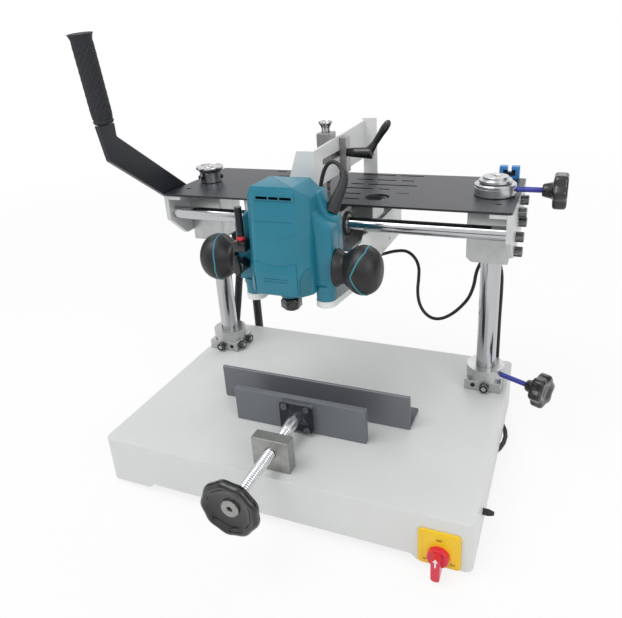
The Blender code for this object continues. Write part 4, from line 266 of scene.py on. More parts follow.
def join_rings(shape, rings):
    """Faces between rings of points, any of which may be a single point."""
    for lower, upper in zip(rings, rings[1:]):
        count = max(len(lower), len(upper))
        for step in range(count):
            after = (step + 1) % count
            corners = [
                lower[step % len(lower)], lower[after % len(lower)], upper[after % len(upper)],
                upper[step % len(upper)],
            ]
            unique = list(dict.fromkeys(corners))
            if len(unique) > 2:
                shape.faces.new(unique)


def swept(points, radii, steps=16, shape=None):
    """A round tube along points in millimetres, closed at both ends."""
    shape = shape or bmesh.new()
    places = [at(*point) for point in points]
    side = None
    rings = []
    for index, place in enumerate(places):
        before = places[max(0, index - 1)]
        after = places[min(len(places) - 1, index + 1)]
        way = (after - before).normalized()
        if side is None:
            side = way.orthogonal().normalized()
        side = (side - way * side.dot(way)).normalized()
        across = way.cross(side)
        radius = radii[index] * MM
        ring = []
        for step in range(steps):
            angle = FULL_TURN * step / steps
            ring.append(shape.verts.new(place + (side * math.cos(angle) + across * math.sin(angle)) * radius))
        rings.append(ring)
    rings = [[shape.verts.new(places[0])], *rings, [shape.verts.new(places[-1])]]
    join_rings(shape, rings)
    return shape


def smooth_route(points, spacing):
    """Evenly spaced points on a smooth curve through a route, and the curve's length."""
    route = [Vector(point) for point in points]
    ends = [route[0] * 2 - route[1], *route, route[-1] * 2 - route[-2]]
    fine = []
    for index in range(1, len(ends) - 2):
        a, b, c, d = ends[index - 1 : index + 3]
        for t in np.linspace(0, 1, 16, endpoint=False):
            bend = (a * 2 - b * 5 + c * 4 - d) * t * t + (b * 3 - a - c * 3 + d) * t * t * t
            fine.append((b * 2 + (c - a) * t + bend) / 2)
    fine.append(route[-1])
    along = np.cumsum([0] + [(after - before).length for before, after in zip(fine, fine[1:])])
    wanted = np.linspace(0, along[-1], max(2, round(along[-1] / spacing)) + 1)
    axes = [np.interp(wanted, along, [point[axis] for point in fine]) for axis in range(3)]
    return [tuple(map(float, place)) for place in zip(*axes)], float(along[-1])


# Waves around a section: how many, and how deep in millimetres or as a share of the radius
KNURLS = 24
KNURL_DEPTH = 0.3
STAR_LOBES = 6
STAR_DEPTH = 0.16
WHEEL_LOBES = 9
WHEEL_DEPTH = 0.045


def reach(radius, angle, kind="round"):
    """How far out a section goes at an angle: round, six-sided, knurled or lobed."""
    if kind == "hex":
        side = FULL_TURN / 6
        return radius / math.cos((angle + side / 2) % side - side / 2)
    if kind == "knurl":
        return radius - KNURL_DEPTH * (0.5 + 0.5 * math.cos(KNURLS * angle))
    if kind == "star":
        return radius * (1 - STAR_DEPTH * (1 - math.cos(STAR_LOBES * angle)) / 2)
    if kind == "wheel":
        return radius * (1 - WHEEL_DEPTH * (1 - math.cos(WHEEL_LOBES * angle)) / 2)
    return radius


def axis_frame(place, way):
    """The matrix that carries the z axis to a place in millimetres and along a direction."""
    turn = Vector(way).to_track_quat("Z", "Y").to_matrix().to_4x4()
    return Matrix.Translation(at(*place)) @ turn


def ring_around(shape, matrix, distance, radius_at, steps):
    """Points around an axis, at a distance along it; radius_at gives the radius for an angle."""
    ring = []
    for step in range(steps):
        angle = FULL_TURN * step / steps
        far = radius_at(angle)
        point = Vector((far * math.cos(angle), far * math.sin(angle), distance)) * MM
        ring.append(shape.verts.new(matrix @ point))
    return ring


def middle_point(shape, matrix, distance):
    """A ring shrunk to one point on the axis."""
    return [shape.verts.new(matrix @ Vector((0, 0, distance * MM)))]


def sectioned(profile, place, way, steps=48, shape=None):
    """A solid along a direction from sections of radius and distance, and a kind unless they are round."""
    shape = shape or bmesh.new()
    matrix = axis_frame(place, way)
    rings = []
    for radius, distance, *kind in profile:
        if radius <= 0:
            rings.append(middle_point(shape, matrix, distance))
            continue
        rings.append(ring_around(shape, matrix, distance, lambda angle: reach(radius, angle, *kind), steps))
    join_rings(shape, rings)
    return shape


def hollow(profile, place, way, steps=48):
    """A ring-shaped solid from a profile that goes round to its own start."""
    shape = sectioned([*profile, profile[0]], place, way, steps)
    bmesh.ops.remove_doubles(shape, verts=shape.verts, dist=1e-6)
    return shape


THREAD_ROWS = 8


def threaded(start, way, length, radius, pitch, depth, steps):
    """A screw thread: rings whose radius rises and falls along a helix."""
    shape = bmesh.new()
    matrix = axis_frame(start, way)
    count = round(length / pitch * THREAD_ROWS)
    rings = [middle_point(shape, matrix, 0)]
    for row in range(count + 1):
        distance = length * row / count

        def radius_at(angle):
            return radius - depth * (0.5 - 0.5 * math.cos(FULL_TURN * distance / pitch - angle))

        rings.append(ring_around(shape, matrix, distance, radius_at, steps))
    rings.append(middle_point(shape, matrix, length))
    join_rings(shape, rings)
    return shape


def soften(shape, edge):
    """Round the sharp edges of a shape."""
    sharp = [line for line in shape.edges if len(line.link_faces) == 2 and line.calc_face_angle() > 0.5]
    bmesh.ops.bevel(
        shape, geom=sharp, offset=edge * MM, segments=2, affect="EDGES", profile=0.5, clamp_overlap=True,
    )
    return shape


def block(low, high, edge=0.8):
    """A box with softened edges, between two corners in millimetres."""
    shape = bmesh.new()
    low, high = at(*low), at(*high)
    made = bmesh.ops.create_cube(shape, size=1)["verts"]
    bmesh.ops.scale(shape, vec=high - low, verts=made)
    bmesh.ops.translate(shape, vec=(low + high) / 2, verts=made)
    return soften(shape, edge) if edge else shape


def slab(outline, near, far, place_of, edge=0.8):
    """An outline pushed from one distance to another; place_of gives each point."""
    shape = bmesh.new()
    rings = [
        [shape.verts.new(at(*place_of(across, up, distance))) for across, up in outline]
        for distance in (near, far)
    ]
    join_rings(shape, rings)
    for ring in rings:
        shape.faces.new(ring)
    bmesh.ops.recalc_face_normals(shape, faces=shape.faces)
    return soften(shape, edge) if edge else shape


def front_place(across, up, distance):
    """A point for an outline seen from the front."""
    return (across, distance, up)


def carve(obj, cutters):
    """Cut shapes out of a piece; the cut faces take the cutter's finish."""
    for cutter in cutters:
        modifier = obj.modifiers.new("carve", "BOOLEAN")
        modifier.operation = "DIFFERENCE"
        modifier.solver = "EXACT"
        modifier.material_mode = "TRANSFER"
        modifier.object = cutter
    bpy.context.view_layer.update()
    graph = bpy.context.evaluated_depsgraph_get()
    mesh = bpy.data.meshes.new_from_object(obj.evaluated_get(graph))
    obj.modifiers.clear()
    obj.data = mesh
    mesh.set_sharp_from_angle(angle=math.radians(35))
    return obj


def make_cutter(shape, finish):
    """A shape that only cuts."""
    bmesh.ops.recalc_face_normals(shape, faces=shape.faces)
    mesh = mesh_from("cutter", shape)
    mesh.materials.append(FINISHES[finish])
    obj = add_object("cutter", mesh)
    return obj


def drop(cutters):
    """Remove cutters after use."""
    for cutter in cutters:
        bpy.data.objects.remove(cutter, do_unlink=True)


KEY_SHARE = 0.48


def socket_screw(name, place, way, radius, height, body, finish="black_oxide", kind="knurl"):
    """A socket screw's head with its six-sided recess."""
    key = radius * KEY_SHARE
    profile = [
        (0, height * 0.45), (key, height * 0.45, "hex"), (key, height - 0.2, "hex"), (key * 1.14, height),
        (radius - 0.9, height), (radius - 0.2, height - 0.5), (radius, height - 1.2, kind),
        (radius, 0.4, kind), (radius - 0.3, 0), (0, 0),
    ]
    return add_piece(name, sectioned(profile, place, way, 48), body, finish)


# The router's cord: from its boot, behind the router and under the bracket, to the base by the right column
CORD_ROUTE = [
    (56.4, 179.15, 451.2), (50.5, 184, 457.4), (43, 187.5, 460.9), (34, 189.5, 458.9),
    (26.5, 190, 448.9), (21.5, 190, 433.4), (18, 190, 415.4), (15.5, 190, 395.4),
    (14.5, 190, 368.4), (17, 193.5, 335.4), (26, 208, 311.4), (31, 232, 297.4),
    (35, 264, 288.4), (38, 300, 280.4), (43, 338, 272.4), (52, 368, 267.4),
    (68, 386, 267.4), (86, 389, 267.4), (101, 386, 258.4), (109, 382, 243.4),
    (110, 378, 224.4), (109.5, 374, 204.4), (113, 370, 185), (122, 366, 170),
    (136, 362, 162), (152, 358, 164), (169, 354, 175), (185, 350, 192),
    (199, 346, 213), (207, 342, 237), (211, 340, 262), (219, 339, 281),
    (231, 339, 288.3), (243, 339.5, 281), (248.5, 341, 262), (249.5, 343, 230),
    (249, 345.5, 190), (249, 348, 145), (249, 349.5, 105), (249, 350, 81.3),
]
CORD_RADIUS = 2.75
CORD_STEP = 4
UNDER_CHEEK = (52, 368, 267.4)
PAST_CHEEK = (86, 389, 267.4)
HEAD_EYE = (231, 339, 288.3)

BOOT_FOOT = (49, 150, 403.7)
BOOT_ROUTE = [
    (0, 0, 0), (5, 7, 13.2), (10, 14.5, 26.7), (12, 21.5, 37.7), (10.8, 25.4, 43.3), (7.8, 28.8, 47.1),
]
BOOT_ROOT_RADIUS = 9.5
BOOT_TIP_RADIUS = 5

CONDUIT_ROUTE = [
    (-246, 354, 81.3), (-245, 354, 100), (-241, 354, 122), (-235, 353, 150), (-228, 351, 183),
    (-221, 348, 215), (-216, 342, 250), (-214.5, 338.5, 277), (-214.5, 338, 298.8),
]
CONDUIT_RADIUS = 7

MAINS_ROUTE = [
    (230, 72.6, 36), (229.5, 88, 35.5), (227, 106, 30), (223, 126, 17), (221, 146, 6.6),
    (223.5, 166, 3.9), (232, 189, 3.9), (245, 211, 3.9), (259, 231, 3.9), (270, 253, 3.9),
    (275.5, 277, 3.9), (273.5, 301, 3.9), (264, 324, 3.9), (248, 344, 3.9), (230, 361, 3.9),
    (215, 379, 3.9), (206, 400, 3.9), (201, 422, 3.9), (200, 448.7, 3.9),
]
MAINS_RADIUS = 3.5
MAINS_STEP = 17
COIL_CENTRE = (151.5, 456, 3.9)
COIL_RADIUS = 48.5
COIL_PITCH = 7.6
COIL_TURNS = 5 + 1 / 3
COIL_LOOP_STEPS = 24
COIL_CLIMB_SHARE = 0.5
COIL_TAIL = 46


def split_route(route, *cuts):
    """A fine smooth route cut at its points nearest to some places."""
    fine, _ = smooth_route(route, CORD_STEP)
    marks = [0]
    for place in cuts:
        marks.append(min(range(len(fine)), key=lambda index: (Vector(fine[index]) - Vector(place)).length))
    marks.append(len(fine) - 1)
    return [fine[first : last + 1] for first, last in zip(marks, marks[1:])]


def make_router_cord():
    """The router's cord in four stretches, cut where it passes from one body to the next."""
    stretches = split_route(CORD_ROUTE, UNDER_CHEEK, PAST_CHEEK, HEAD_EYE)
    bodies = [
        ("router", "y_carriage"), ("y_carriage", "x_carriage"), ("x_carriage", "head"), ("head", "base"),
    ]
    names = ["router_lead_upper", "router_lead_clip", "router_lead_loop", "router_lead_lower"]
    for index, (name, points, (first, last)) in enumerate(zip(names, stretches, bodies)):
        shape = swept(points, [CORD_RADIUS] * len(points), 14)
        replaced = ("router_cord",) if index == 0 else ()
        lead = add_piece(name, shape, None, "black_rubber", replaced)
        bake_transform(lead)


def make_boot():
    """The tapered boot on the router's shoulder, with fine ribs towards its tip."""
    route = [tuple(base + step for base, step in zip(BOOT_FOOT, point)) for point in BOOT_ROUTE]
    points, _ = smooth_route(route, 1.2)
    radii = []
    for index in range(len(points)):
        share = index / (len(points) - 1)
        radius = BOOT_ROOT_RADIUS + (BOOT_TIP_RADIUS - BOOT_ROOT_RADIUS) * share
        if 0.5 < share < 0.9:
            radius -= 0.35 * (0.5 + 0.5 * math.cos(FULL_TURN * share * 12))
        radii.append(radius)
    radii[-1] -= 0.8
    points[0] = (points[0][0], points[0][1], BOOT_FOOT[2])
    add_piece("boot", swept(points, radii, 28), "router", "black_rubber", ("cord_boot",))


def make_conduit():
    """The dark flexible conduit behind the left column, with its fine ribs."""
    points, length = smooth_route(CONDUIT_ROUTE, 1.5)
    radii = [CONDUIT_RADIUS - (0.5 if index % 2 else 0) for index in range(len(points))]
    conduit = add_piece("ribbed_conduit", swept(points, radii, 20), None, "black_rubber", ("conduit",))
    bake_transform(conduit)


def coil_points():
    """Two layers of loops that spiral in and out again, with a straight lead and tail."""
    steps = round(COIL_TURNS * COIL_LOOP_STEPS)
    centre = Vector(COIL_CENTRE)
    points = []
    for turns in np.linspace(0, COIL_TURNS, steps + 1):
        reach = COIL_RADIUS - COIL_PITCH * min(turns, COIL_TURNS - turns)
        climbed = (turns - COIL_TURNS / 2) / COIL_CLIMB_SHARE + 0.5
        rise = COIL_PITCH * min(1, max(0, climbed))
        angle = FULL_TURN * turns
        points.append(centre + Vector((reach * math.cos(angle), reach * math.sin(angle), rise)))
    end = FULL_TURN * COIL_TURNS
    way = Vector((-math.sin(end), math.cos(end), 0))
    points.append(points[-1] + way * COIL_TAIL)
    return [tuple(point) for point in points]


def make_mains_lead():
    """The mains lead from the switch's gland to its coil behind the base."""
    free, _ = smooth_route(MAINS_ROUTE, MAINS_STEP)
    points = free + coil_points()
    curve = bpy.data.curves.new("mains_lead", "CURVE")
    curve.dimensions = "3D"
    curve.bevel_depth = MAINS_RADIUS * MM
    curve.bevel_resolution = 4
    curve.use_fill_caps = True
    spline = curve.splines.new("POLY")
    spline.points.add(len(points) - 1)
    for holder, place in zip(spline.points, points):
        holder.co = (*at(*place), 1)
    spline.use_smooth = True
    lead = add_object("mains_lead", curve)
    curve.materials.append(FINISHES["black_rubber"])
    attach(lead, "base")
    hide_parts("mains_cord", "mains_coil")


COLUMN_X = 235
COLUMN_Y = 315
STUD_START = 29.3
STUD_RADIUS = 4
STUD_PITCH = 1.5
STUD_DEPTH = 0.35
STAR_PROFILE = [
    (0, 0), (7.5, 0), (8.6, 0.8), (9.4, 3), (11.6, 12.5), (13.5, 14), (21, 14.2, "star"),
    (24.2, 15, "star"), (25.8, 17, "star"), (26, 20, "star"), (26, 28, "star"), (25.3, 31, "star"),
    (23, 32.7, "star"), (19, 33, "star"), (11, 32.6), (9.5, 31.4), (0, 31),
]


def make_star_knob(name, height, turn, stud, node, body):
    """A black star knob on its blue threaded stud."""
    way = Vector((math.cos(turn), math.sin(turn), 0))
    start = Vector((COLUMN_X, COLUMN_Y, height)) + way * STUD_START
    shape = threaded(start, way, stud + 1, STUD_RADIUS, STUD_PITCH, STUD_DEPTH, 24)
    add_piece(name + "_stud", shape, body, "blue_stud")
    knob = sectioned(STAR_PROFILE, start + way * stud, way, 96)
    add_piece(name, knob, body, "gloss_black", (node,), sharp=50)


def make_knobs():
    """The two star knobs that lock the head on the right column."""
    make_star_knob("star_knob_low", 107.3, math.radians(-25), 44, "lower_star_knob", "lower_knob")
    make_star_knob("star_knob_high", 401.8, 0, 34, "upper_star_knob", "upper_knob")


GRIP_ROOT = (-277, 130.5, 519.05)
GRIP_LEAN = math.radians(6.9)
GRIP_LENGTH = 117
GRIP_STEPS = 96
COLLARS_END = 11
COLLAR_RADIUS = 14.2
COLLAR_DEPTH = 1.1
COLLAR_PITCH = 5.5
FLARE_LENGTH = 10
FLARE_RADIUS = 14
FLARE_RISE = 3
DIAMOND_RADIUS = 13.6
DIAMOND_RISE = 0.9
DIAMOND_SLOPE = 1.6
DIAMOND_COUNT = 6
DIAMOND_PITCH = 10
LIP_RADIUS = 15.6


def grip_radius(along, angle):
    """The rubber grip's radius: two collars at its root, a diamond pattern and a flared end."""
    if along < COLLARS_END:
        return COLLAR_RADIUS - COLLAR_DEPTH * (0.5 + 0.5 * math.cos(FULL_TURN * along / COLLAR_PITCH))
    if along > GRIP_LENGTH - FLARE_LENGTH:
        share = (along - GRIP_LENGTH + FLARE_LENGTH) / FLARE_LENGTH
        return FLARE_RADIUS + FLARE_RISE * share * share
    around = DIAMOND_COUNT * angle
    slant = math.pi * along / DIAMOND_PITCH
    cross = abs(math.sin(around + slant)) * abs(math.sin(around - slant))
    return DIAMOND_RADIUS + DIAMOND_RISE * min(1, DIAMOND_SLOPE * cross)


def make_grip():
    """The lever's rubber grip with its diamond pattern."""
    matrix = axis_frame(GRIP_ROOT, (0, -math.sin(GRIP_LEAN), math.cos(GRIP_LEAN)))
    shape = bmesh.new()
    rings = [middle_point(shape, matrix, 0)]
    for along in np.linspace(0, GRIP_LENGTH, 95):
        rings.append(ring_around(shape, matrix, along, lambda angle: grip_radius(along, angle), GRIP_STEPS))
    rings.append(ring_around(shape, matrix, GRIP_LENGTH + 0.3, lambda angle: LIP_RADIUS, GRIP_STEPS))
    rings.append(middle_point(shape, matrix, GRIP_LENGTH + 0.5))
    join_rings(shape, rings)
    add_piece("rubber_grip", shape, "lever", "grip_rubber", ("lever_grip",), sharp=60)


SCREW_Z = 109
SCREW_START = -71.7
SCREW_LENGTH = 131.5
SCREW_RADIUS = 8
SCREW_PITCH = 3.6
SCREW_DEPTH = 1.1
SCREW_HUB_START = 60


def make_lead_screw():
    """The lead screw's thread and its smooth hub."""
    start = (0, SCREW_START, SCREW_Z)
    shape = threaded(start, BACK, SCREW_LENGTH, SCREW_RADIUS, SCREW_PITCH, SCREW_DEPTH, 36)
    hub = [(0, 0), (7, 0), (9, 2), (9, 44.6), (0, 44.6)]
    sectioned(hub, (0, SCREW_HUB_START, SCREW_Z), BACK, 48, shape)
    add_piece("threaded_screw", shape, "lead_screw", "screw_steel", ("lead_screw",), sharp=70)


WHEEL_FRONT = -97
WHEEL_HUB_FOOT = -72
WHEEL_PROFILE = [
    (12.3, 12), (14, 12), (15.5, 11.4), (18, 10.6), (27, 10.6), (31, 11, "wheel"), (35, 12, "wheel"),
    (37.6, 11.6, "wheel"), (39.1, 10, "wheel"), (39.5, 8, "wheel"), (39.5, 5.5, "wheel"),
    (39, 3.6, "wheel"), (37.5, 1.2, "wheel"), (35, 0.1, "wheel"), (32.6, 0.2, "wheel"),
    (30.8, 1.4, "wheel"), (29, 3.6), (25, 5.6), (18, 6.8), (13, 7), (12.3, 7.2),
]


def make_handwheel():
    """The black lobed handwheel with its dished face."""
    shape = hollow(WHEEL_PROFILE, (0, WHEEL_FRONT, SCREW_Z), BACK, 144)
    add_piece("lobed_wheel", shape, "lead_screw", "gloss_black", ("handwheel",), sharp=60)
    hub = [(0, 9), (3.6, 9, "hex"), (3.6, 20.4, "hex"), (4.4, 21), (10.9, 21), (12, 20), (12, 0), (0, 0)]
    add_piece(
        "wheel_hub", sectioned(hub, (0, WHEEL_HUB_FOOT, SCREW_Z), FRONT), "lead_screw", "nickel_block",
        ("handwheel_hub",),
    )


# Where each kind of socket screw sits, and which way it faces
FLANGE_FRONT = 97.7
FLANGE_SPREAD = 17
END_PLATE_SIDE = 270
END_SCREWS = ((0.56, 0.08), (0.43, 0.24), (0.5, 0.48), (0.3, 0.63), (0.26, 0.89))
CLAMP_SCREW_Z = 89.8
CLAMP_SCREWS = ((-238, 287, FRONT), (-207, 302, RIGHT), (-207, 328, RIGHT), (238, 287, FRONT))
SET_SCREWS = ((220, 287.1, 90.5), (-218, 287.1, 90.5))
PLATE_SCREWS = ((-247, 264, 389.9), (247, 264, 389.9))


def make_screws():
    """Socket screws on the flange, the end plate, the foot clamps and the template."""
    steel = {"finish": "steel_screw", "kind": "round"}
    for index, (across, up) in enumerate(((-1, -1), (-1, 1), (1, -1), (1, 1))):
        place = (FLANGE_SPREAD * across, FLANGE_FRONT, SCREW_Z + FLANGE_SPREAD * up)
        socket_screw(f"flange_screw_{index}", place, FRONT, 5.2, 4.2, "vice_jaw", **steel)
    for index, (depth, drop_share) in enumerate(END_SCREWS):
        place = (END_PLATE_SIDE, 226 + 178 * depth, 389.7 - 73 * drop_share)
        socket_screw(f"end_screw_{index}", place, RIGHT, 7.2, 11.2, "head")
    for index, (x, y, way) in enumerate(CLAMP_SCREWS):
        socket_screw(f"clamp_screw_{index}", (x, y, CLAMP_SCREW_Z), way, 7.2, 8.2, "base")
    for index, place in enumerate(SET_SCREWS):
        socket_screw(f"set_screw_{index}", place, FRONT, 3.6, 1.2, "base", kind="round")
    for index, place in enumerate(PLATE_SCREWS):
        socket_screw(f"plate_screw_{index}", place, UP, 3.8, 2.4, "head", **steel)


CAP_Z = 410.8
PLATE_TOP = 393.3


def make_caps():
    """The column caps and the collar under the right one, turned with chamfers and grooves."""
    cap = [
        (15.4, -17), (17.6, -17), (18, -16.5), (18, -0.5), (18.4, 0), (21.2, 3.4), (22.6, 4.6), (23, 5.6),
        (23, 8), (22.4, 9), (20, 9), (19.4, 8.4), (12, 8), (9, 8), (8.4, 8.7), (4.4, 8.7), (3.8, 8),
        (3.8, 4), (0, 4),
    ]
    add_piece(
        "mushroom_cap", sectioned(cap, (-COLUMN_X, COLUMN_Y, CAP_Z), UP, 64), "base", "chrome",
        ("left_column_cap",),
    )
    for index, turn in enumerate((math.radians(23), math.radians(203))):
        way = Vector((math.cos(turn), math.sin(turn), 0))
        place = Vector((-COLUMN_X, COLUMN_Y, 401.5)) + way * 17.4
        socket_screw(f"cap_screw_{index}", place, way, 3.4, 3.4, "base", kind="round")
    flat = [
        (0, 0), (22, 0), (23, 1), (23, 4), (22.4, 4.8), (18.6, 5), (18, 5.6), (18, 8.4), (17.4, 9),
        (9.6, 9), (9, 8.4), (7.6, 8.4), (7, 9), (4.4, 9), (3.8, 8.4), (3.8, 3), (0, 3),
    ]
    add_piece(
        "flat_cap", sectioned(flat, (COLUMN_X, COLUMN_Y, CAP_Z), UP, 64), "base", "bright_aluminium",
        ("right_column_cap",),
    )
    collar = [
        (15.3, 0), (28, 0), (29, 1), (29, 11.4), (28.3, 12), (28.3, 12.6), (29, 13.2), (29, 15.6),
        (27.6, 17), (24.5, 17), (24.2, 16.6), (15.8, 16.6), (15.3, 16.2),
    ]
    shape = hollow(collar, (COLUMN_X, COLUMN_Y, PLATE_TOP), UP, 72)
    add_piece("turned_collar", shape, "head", "bright_aluminium", ("head_lock_collar",))


ROUTER_X = -7
ROUTER_Y = 128
SLEEVE_REACH = 53
SLEEVE_FOOT = 290.3

# The housing's sections: height, front, half widths in front and at the sides, rear, and rounding
HOUSING_ROWS = (
    (302.8, 94, 28.5, 41, 168, 3.5), (303.6, 91.6, 30.4, 43.8, 172, 4.5), (306, 90.2, 31.6, 45.2, 174, 5),
    (350, 90, 31, 45.5, 174, 5), (390, 92.3, 30.4, 45.2, 174, 5), (430, 94.6, 29.8, 44.8, 173, 4.5),
    (432.6, 94.8, 29.7, 44.2, 172, 4), (446.6, 95.7, 29.4, 30.2, 153, 0.4),
    (447.8, 96.2, 28.8, 29.2, 151.8, 0.4), (448.2, 97.6, 27.4, 27.6, 150.4, 0.4),
)

# The bevel at its front corners: how wide, how deep, along its face, where it starts, and its way out
BEVEL_WIDTH = 14.5
BEVEL_DEPTH = 17
BEVEL_FACE = 22
BEVEL_START = (31, 90)
BEVEL_OUT = (0.76, -0.65)


def housing_ring(front, half_in, half_out, rear, rounding):
    """The housing's eight-sided section with rounded corners."""
    bevel = BEVEL_DEPTH * (half_out - half_in) / BEVEL_WIDTH
    corners = [
        (-half_in, front), (half_in, front), (half_out, front + bevel), (half_out, rear - bevel),
        (half_in, rear), (-half_in, rear), (-half_out, rear - bevel), (-half_out, front + bevel),
    ]
    ring = []
    for index, corner in enumerate(corners):
        here = Vector(corner)
        before = (Vector(corners[index - 1]) - here).normalized()
        after = (Vector(corners[(index + 1) % 8]) - here).normalized()
        for step in range(5):
            t = step / 4
            ring.append(here + before * rounding * (1 - t) ** 2 + after * rounding * t ** 2)
    return [(ROUTER_X + point.x, point.y) for point in ring]


def housing_front(across, up, distance):
    """A point on the housing's front, which leans back towards its top."""
    heights, fronts = list(zip(*HOUSING_ROWS[2:]))[:2]
    lean = float(np.interp(up, heights, fronts))
    return (across, lean + distance, up)


CHIN_LEFT = -37
CHIN_RIGHT = 22.6
CHIN_TOP = 351.5
CHIN_BOW = 6
CHIN_STEPS = 16


def chin_outline():
    """The raised chin on the housing's front, with its bowed upper edge."""
    points = [(CHIN_LEFT, 308.5), (-34, 306), (19.5, 306), (CHIN_RIGHT, 308.5), (CHIN_RIGHT, CHIN_TOP)]
    for step in range(1, CHIN_STEPS):
        share = step / CHIN_STEPS
        across = CHIN_RIGHT - (CHIN_RIGHT - CHIN_LEFT) * share
        points.append((across, CHIN_TOP - CHIN_BOW * math.sin(math.pi * share) ** 0.8))
    points.append((CHIN_LEFT, CHIN_TOP))
    return points


def make_housing():
    """The housing's moulded shell: vents under a brow, parting grooves, a chin and two corner guards."""
    shape = bmesh.new()
    rings = [
        [shape.verts.new(at(across, y, row[0])) for across, y in housing_ring(*row[1:])]
        for row in HOUSING_ROWS
    ]
    join_rings(shape, rings)
    shape.faces.new(rings[0])
    shape.faces.new(rings[-1])
    shell = add_piece("housing_shell", shape, "router", "teal_plastic", ("router_housing",), sharp=24)
    grooves = [block((-60, 84, 403.6), (50, 93.6, 404.3), 0), block((-36, 84, 429.6), (22, 94.9, 430.1), 0)]
    # The vents' cut walls take the near-black finish: painted shade inside the slots
    vents = [
        block((left, 80, 432.6), (right, 104, 436), 0)
        for left, right in ((-28.4, -12.2), (-10.4, 2.8), (4.6, 20.6))
    ]
    cutters = [
        make_cutter(cutter, "teal_plastic")
        for cutter in grooves
    ] + [make_cutter(cutter, "painted_shade_slot") for cutter in vents]
    carve(shell, cutters)
    drop(cutters[:2])
    brow = slab([(-31.4, 431.6), (24.4, 431.6), (23.2, 446), (-33, 446)], -1.3, 1, housing_front, 0.5)
    visor = add_piece("housing_brow", brow, "router", "teal_plastic", sharp=24)
    carve(visor, cutters[2:])
    drop(cutters[2:])
    chin = add_piece(
        "housing_chin", slab(chin_outline(), -1.6, 1, housing_front, 1.2), "router", "teal_plastic",
        sharp=24,
    )
    cutters = [
        make_cutter(block((-25, 84, low), (10, 89.2, low + 0.9), 0), "teal_plastic")
        for low in (323.6, 327.4)
    ]
    carve(chin, cutters)
    drop(cutters)
    smile = [
        (-33, 390.5), (-28, 386.2), (-22, 382.8), (-15.7, 381.2), (-8, 381.8), (2, 384), (10, 386.4),
        (17, 389), (21, 391.2),
    ]
    fine, _ = smooth_route([housing_front(across, up, 0.25) for across, up in smile], 1.5)
    add_piece("housing_bead", swept(fine, [0.8] * len(fine), 8), "router", "teal_plastic")
    skirt = [
        (0, 21), (24, 21), (24, 16.4), (22.6, 15), (14.6, 3.4), (14, 1.6), (13.4, 0.9), (9, 0.9),
        (8.4, 2), (0, 2),
    ]
    # The skirt takes the darker teal: painted shade at the housing's foot
    add_piece("nose_skirt", sectioned(skirt, (ROUTER_X, ROUTER_Y, 288), UP, 56), "router", "painted_shade_teal")
    boss = block((-72, 97.5, 357), (-54, 116, 371.6), 1.6)
    add_piece("rod_boss", boss, "router", "gloss_black")
    for side, sign in (("left", -1), ("right", 1)):
        add_corner_guard(side, sign)
        add_flank(side, sign)


def add_corner_guard(side, sign):
    """The raised guard at the foot of one bevelled corner."""
    outline = [
        (1.5, 306), (1.5, 326), (3.6, 332.5), (7.6, 337.6), (12, 340.8), (17.5, 342.6), (17.5, 312),
        (14, 307.6), (8, 305.4),
    ]

    def corner_place(across, up, distance):
        share = across / BEVEL_FACE
        x = BEVEL_START[0] + BEVEL_WIDTH * share + BEVEL_OUT[0] * distance
        y = BEVEL_START[1] + BEVEL_DEPTH * share + BEVEL_OUT[1] * distance
        return (ROUTER_X + sign * x, y, up)

    # The guard takes the darker teal: painted shade at the bevelled corner's foot
    add_piece(
        f"{side}_corner_guard", slab(outline, -1, 1.5, corner_place, 0.7), "router", "painted_shade_teal",
        sharp=28,
    )


def add_flank(side, sign):
    """One shoulder with its flared webs, and the sleeve under it."""
    front = [
        (34, 311.5), (69.2, 311.5), (69.2, 391.5), (66.5, 395.4), (58, 400.6), (50, 406.6), (44.6, 413),
        (41, 421), (34, 424),
    ]
    shape = slab([(ROUTER_X + sign * across, up) for across, up in front], 114.8, 139, front_place, 2.2)
    add_piece(f"{side}_flank", shape, "router", "teal_plastic", sharp=28)
    rear = [
        (34, 318), (67, 318), (67, 396), (64, 402), (57, 404), (53, 410), (49.5, 420), (46.4, 433),
        (34, 436),
    ]
    shape = slab([(ROUTER_X + sign * across, up) for across, up in rear], 133, 162, front_place, 2.4)
    add_piece(f"{side}_web", shape, "router", "teal_plastic", sharp=28)
    sleeve = [
        (7.6, 0), (12.2, 0), (13, 0.8), (13.7, 13.4), (13.7, 14.2), (14.6, 14.6), (15, 15.4), (15, 20.6),
        (15.4, 22), (7.6, 22),
    ]
    shape = hollow(sleeve, (ROUTER_X + sign * SLEEVE_REACH, ROUTER_Y, SLEEVE_FOOT), UP)
    add_piece(f"{side}_sleeve", shape, "router", "teal_plastic")


NUT_TOP = 290.4


def make_collet():
    """The collet nut: a rounded black nut under a bright steel nose."""
    nut = [
        (0, -22), (7.6, -22), (10.4, -21), (12.6, -18, "hex"), (12.8, -8, "hex"), (12.2, -4.6),
        (10, -3.4), (8.6, -3), (0, -3),
    ]
    add_piece(
        "hex_nut", sectioned(nut, (ROUTER_X, ROUTER_Y, NUT_TOP), UP, 72), "collet", "gloss_black",
        ("collet_nut",), sharp=40,
    )
    nose = [(0, -4), (8, -4), (8, 3), (0, 3)]
    add_piece(
        "collet_nose", sectioned(nose, (ROUTER_X, ROUTER_Y, NUT_TOP), UP, 40), "collet", "screw_steel",
    )


HANDLE_Z = 336
HANDLE_REACH = 104
BALL_STEPS = 64
BALL_TALL = 1.1
LINE_START = -6
LINE_BENDS = {"left": 4, "right": 15}
BALL = [
    (0, -34.6), (20, -34.6), (23, -33.8), (23.4, -32), (21.6, -30), (19.2, -25), (18.6, -22),
    (20.4, -18.5), (24.4, -13), (27.6, -8), (29.4, -3), (30, 2), (29.6, 7), (28.2, 12), (25.6, 17),
    (21.6, 21.4), (16, 24.8), (8, 26.7), (0, 27),
]


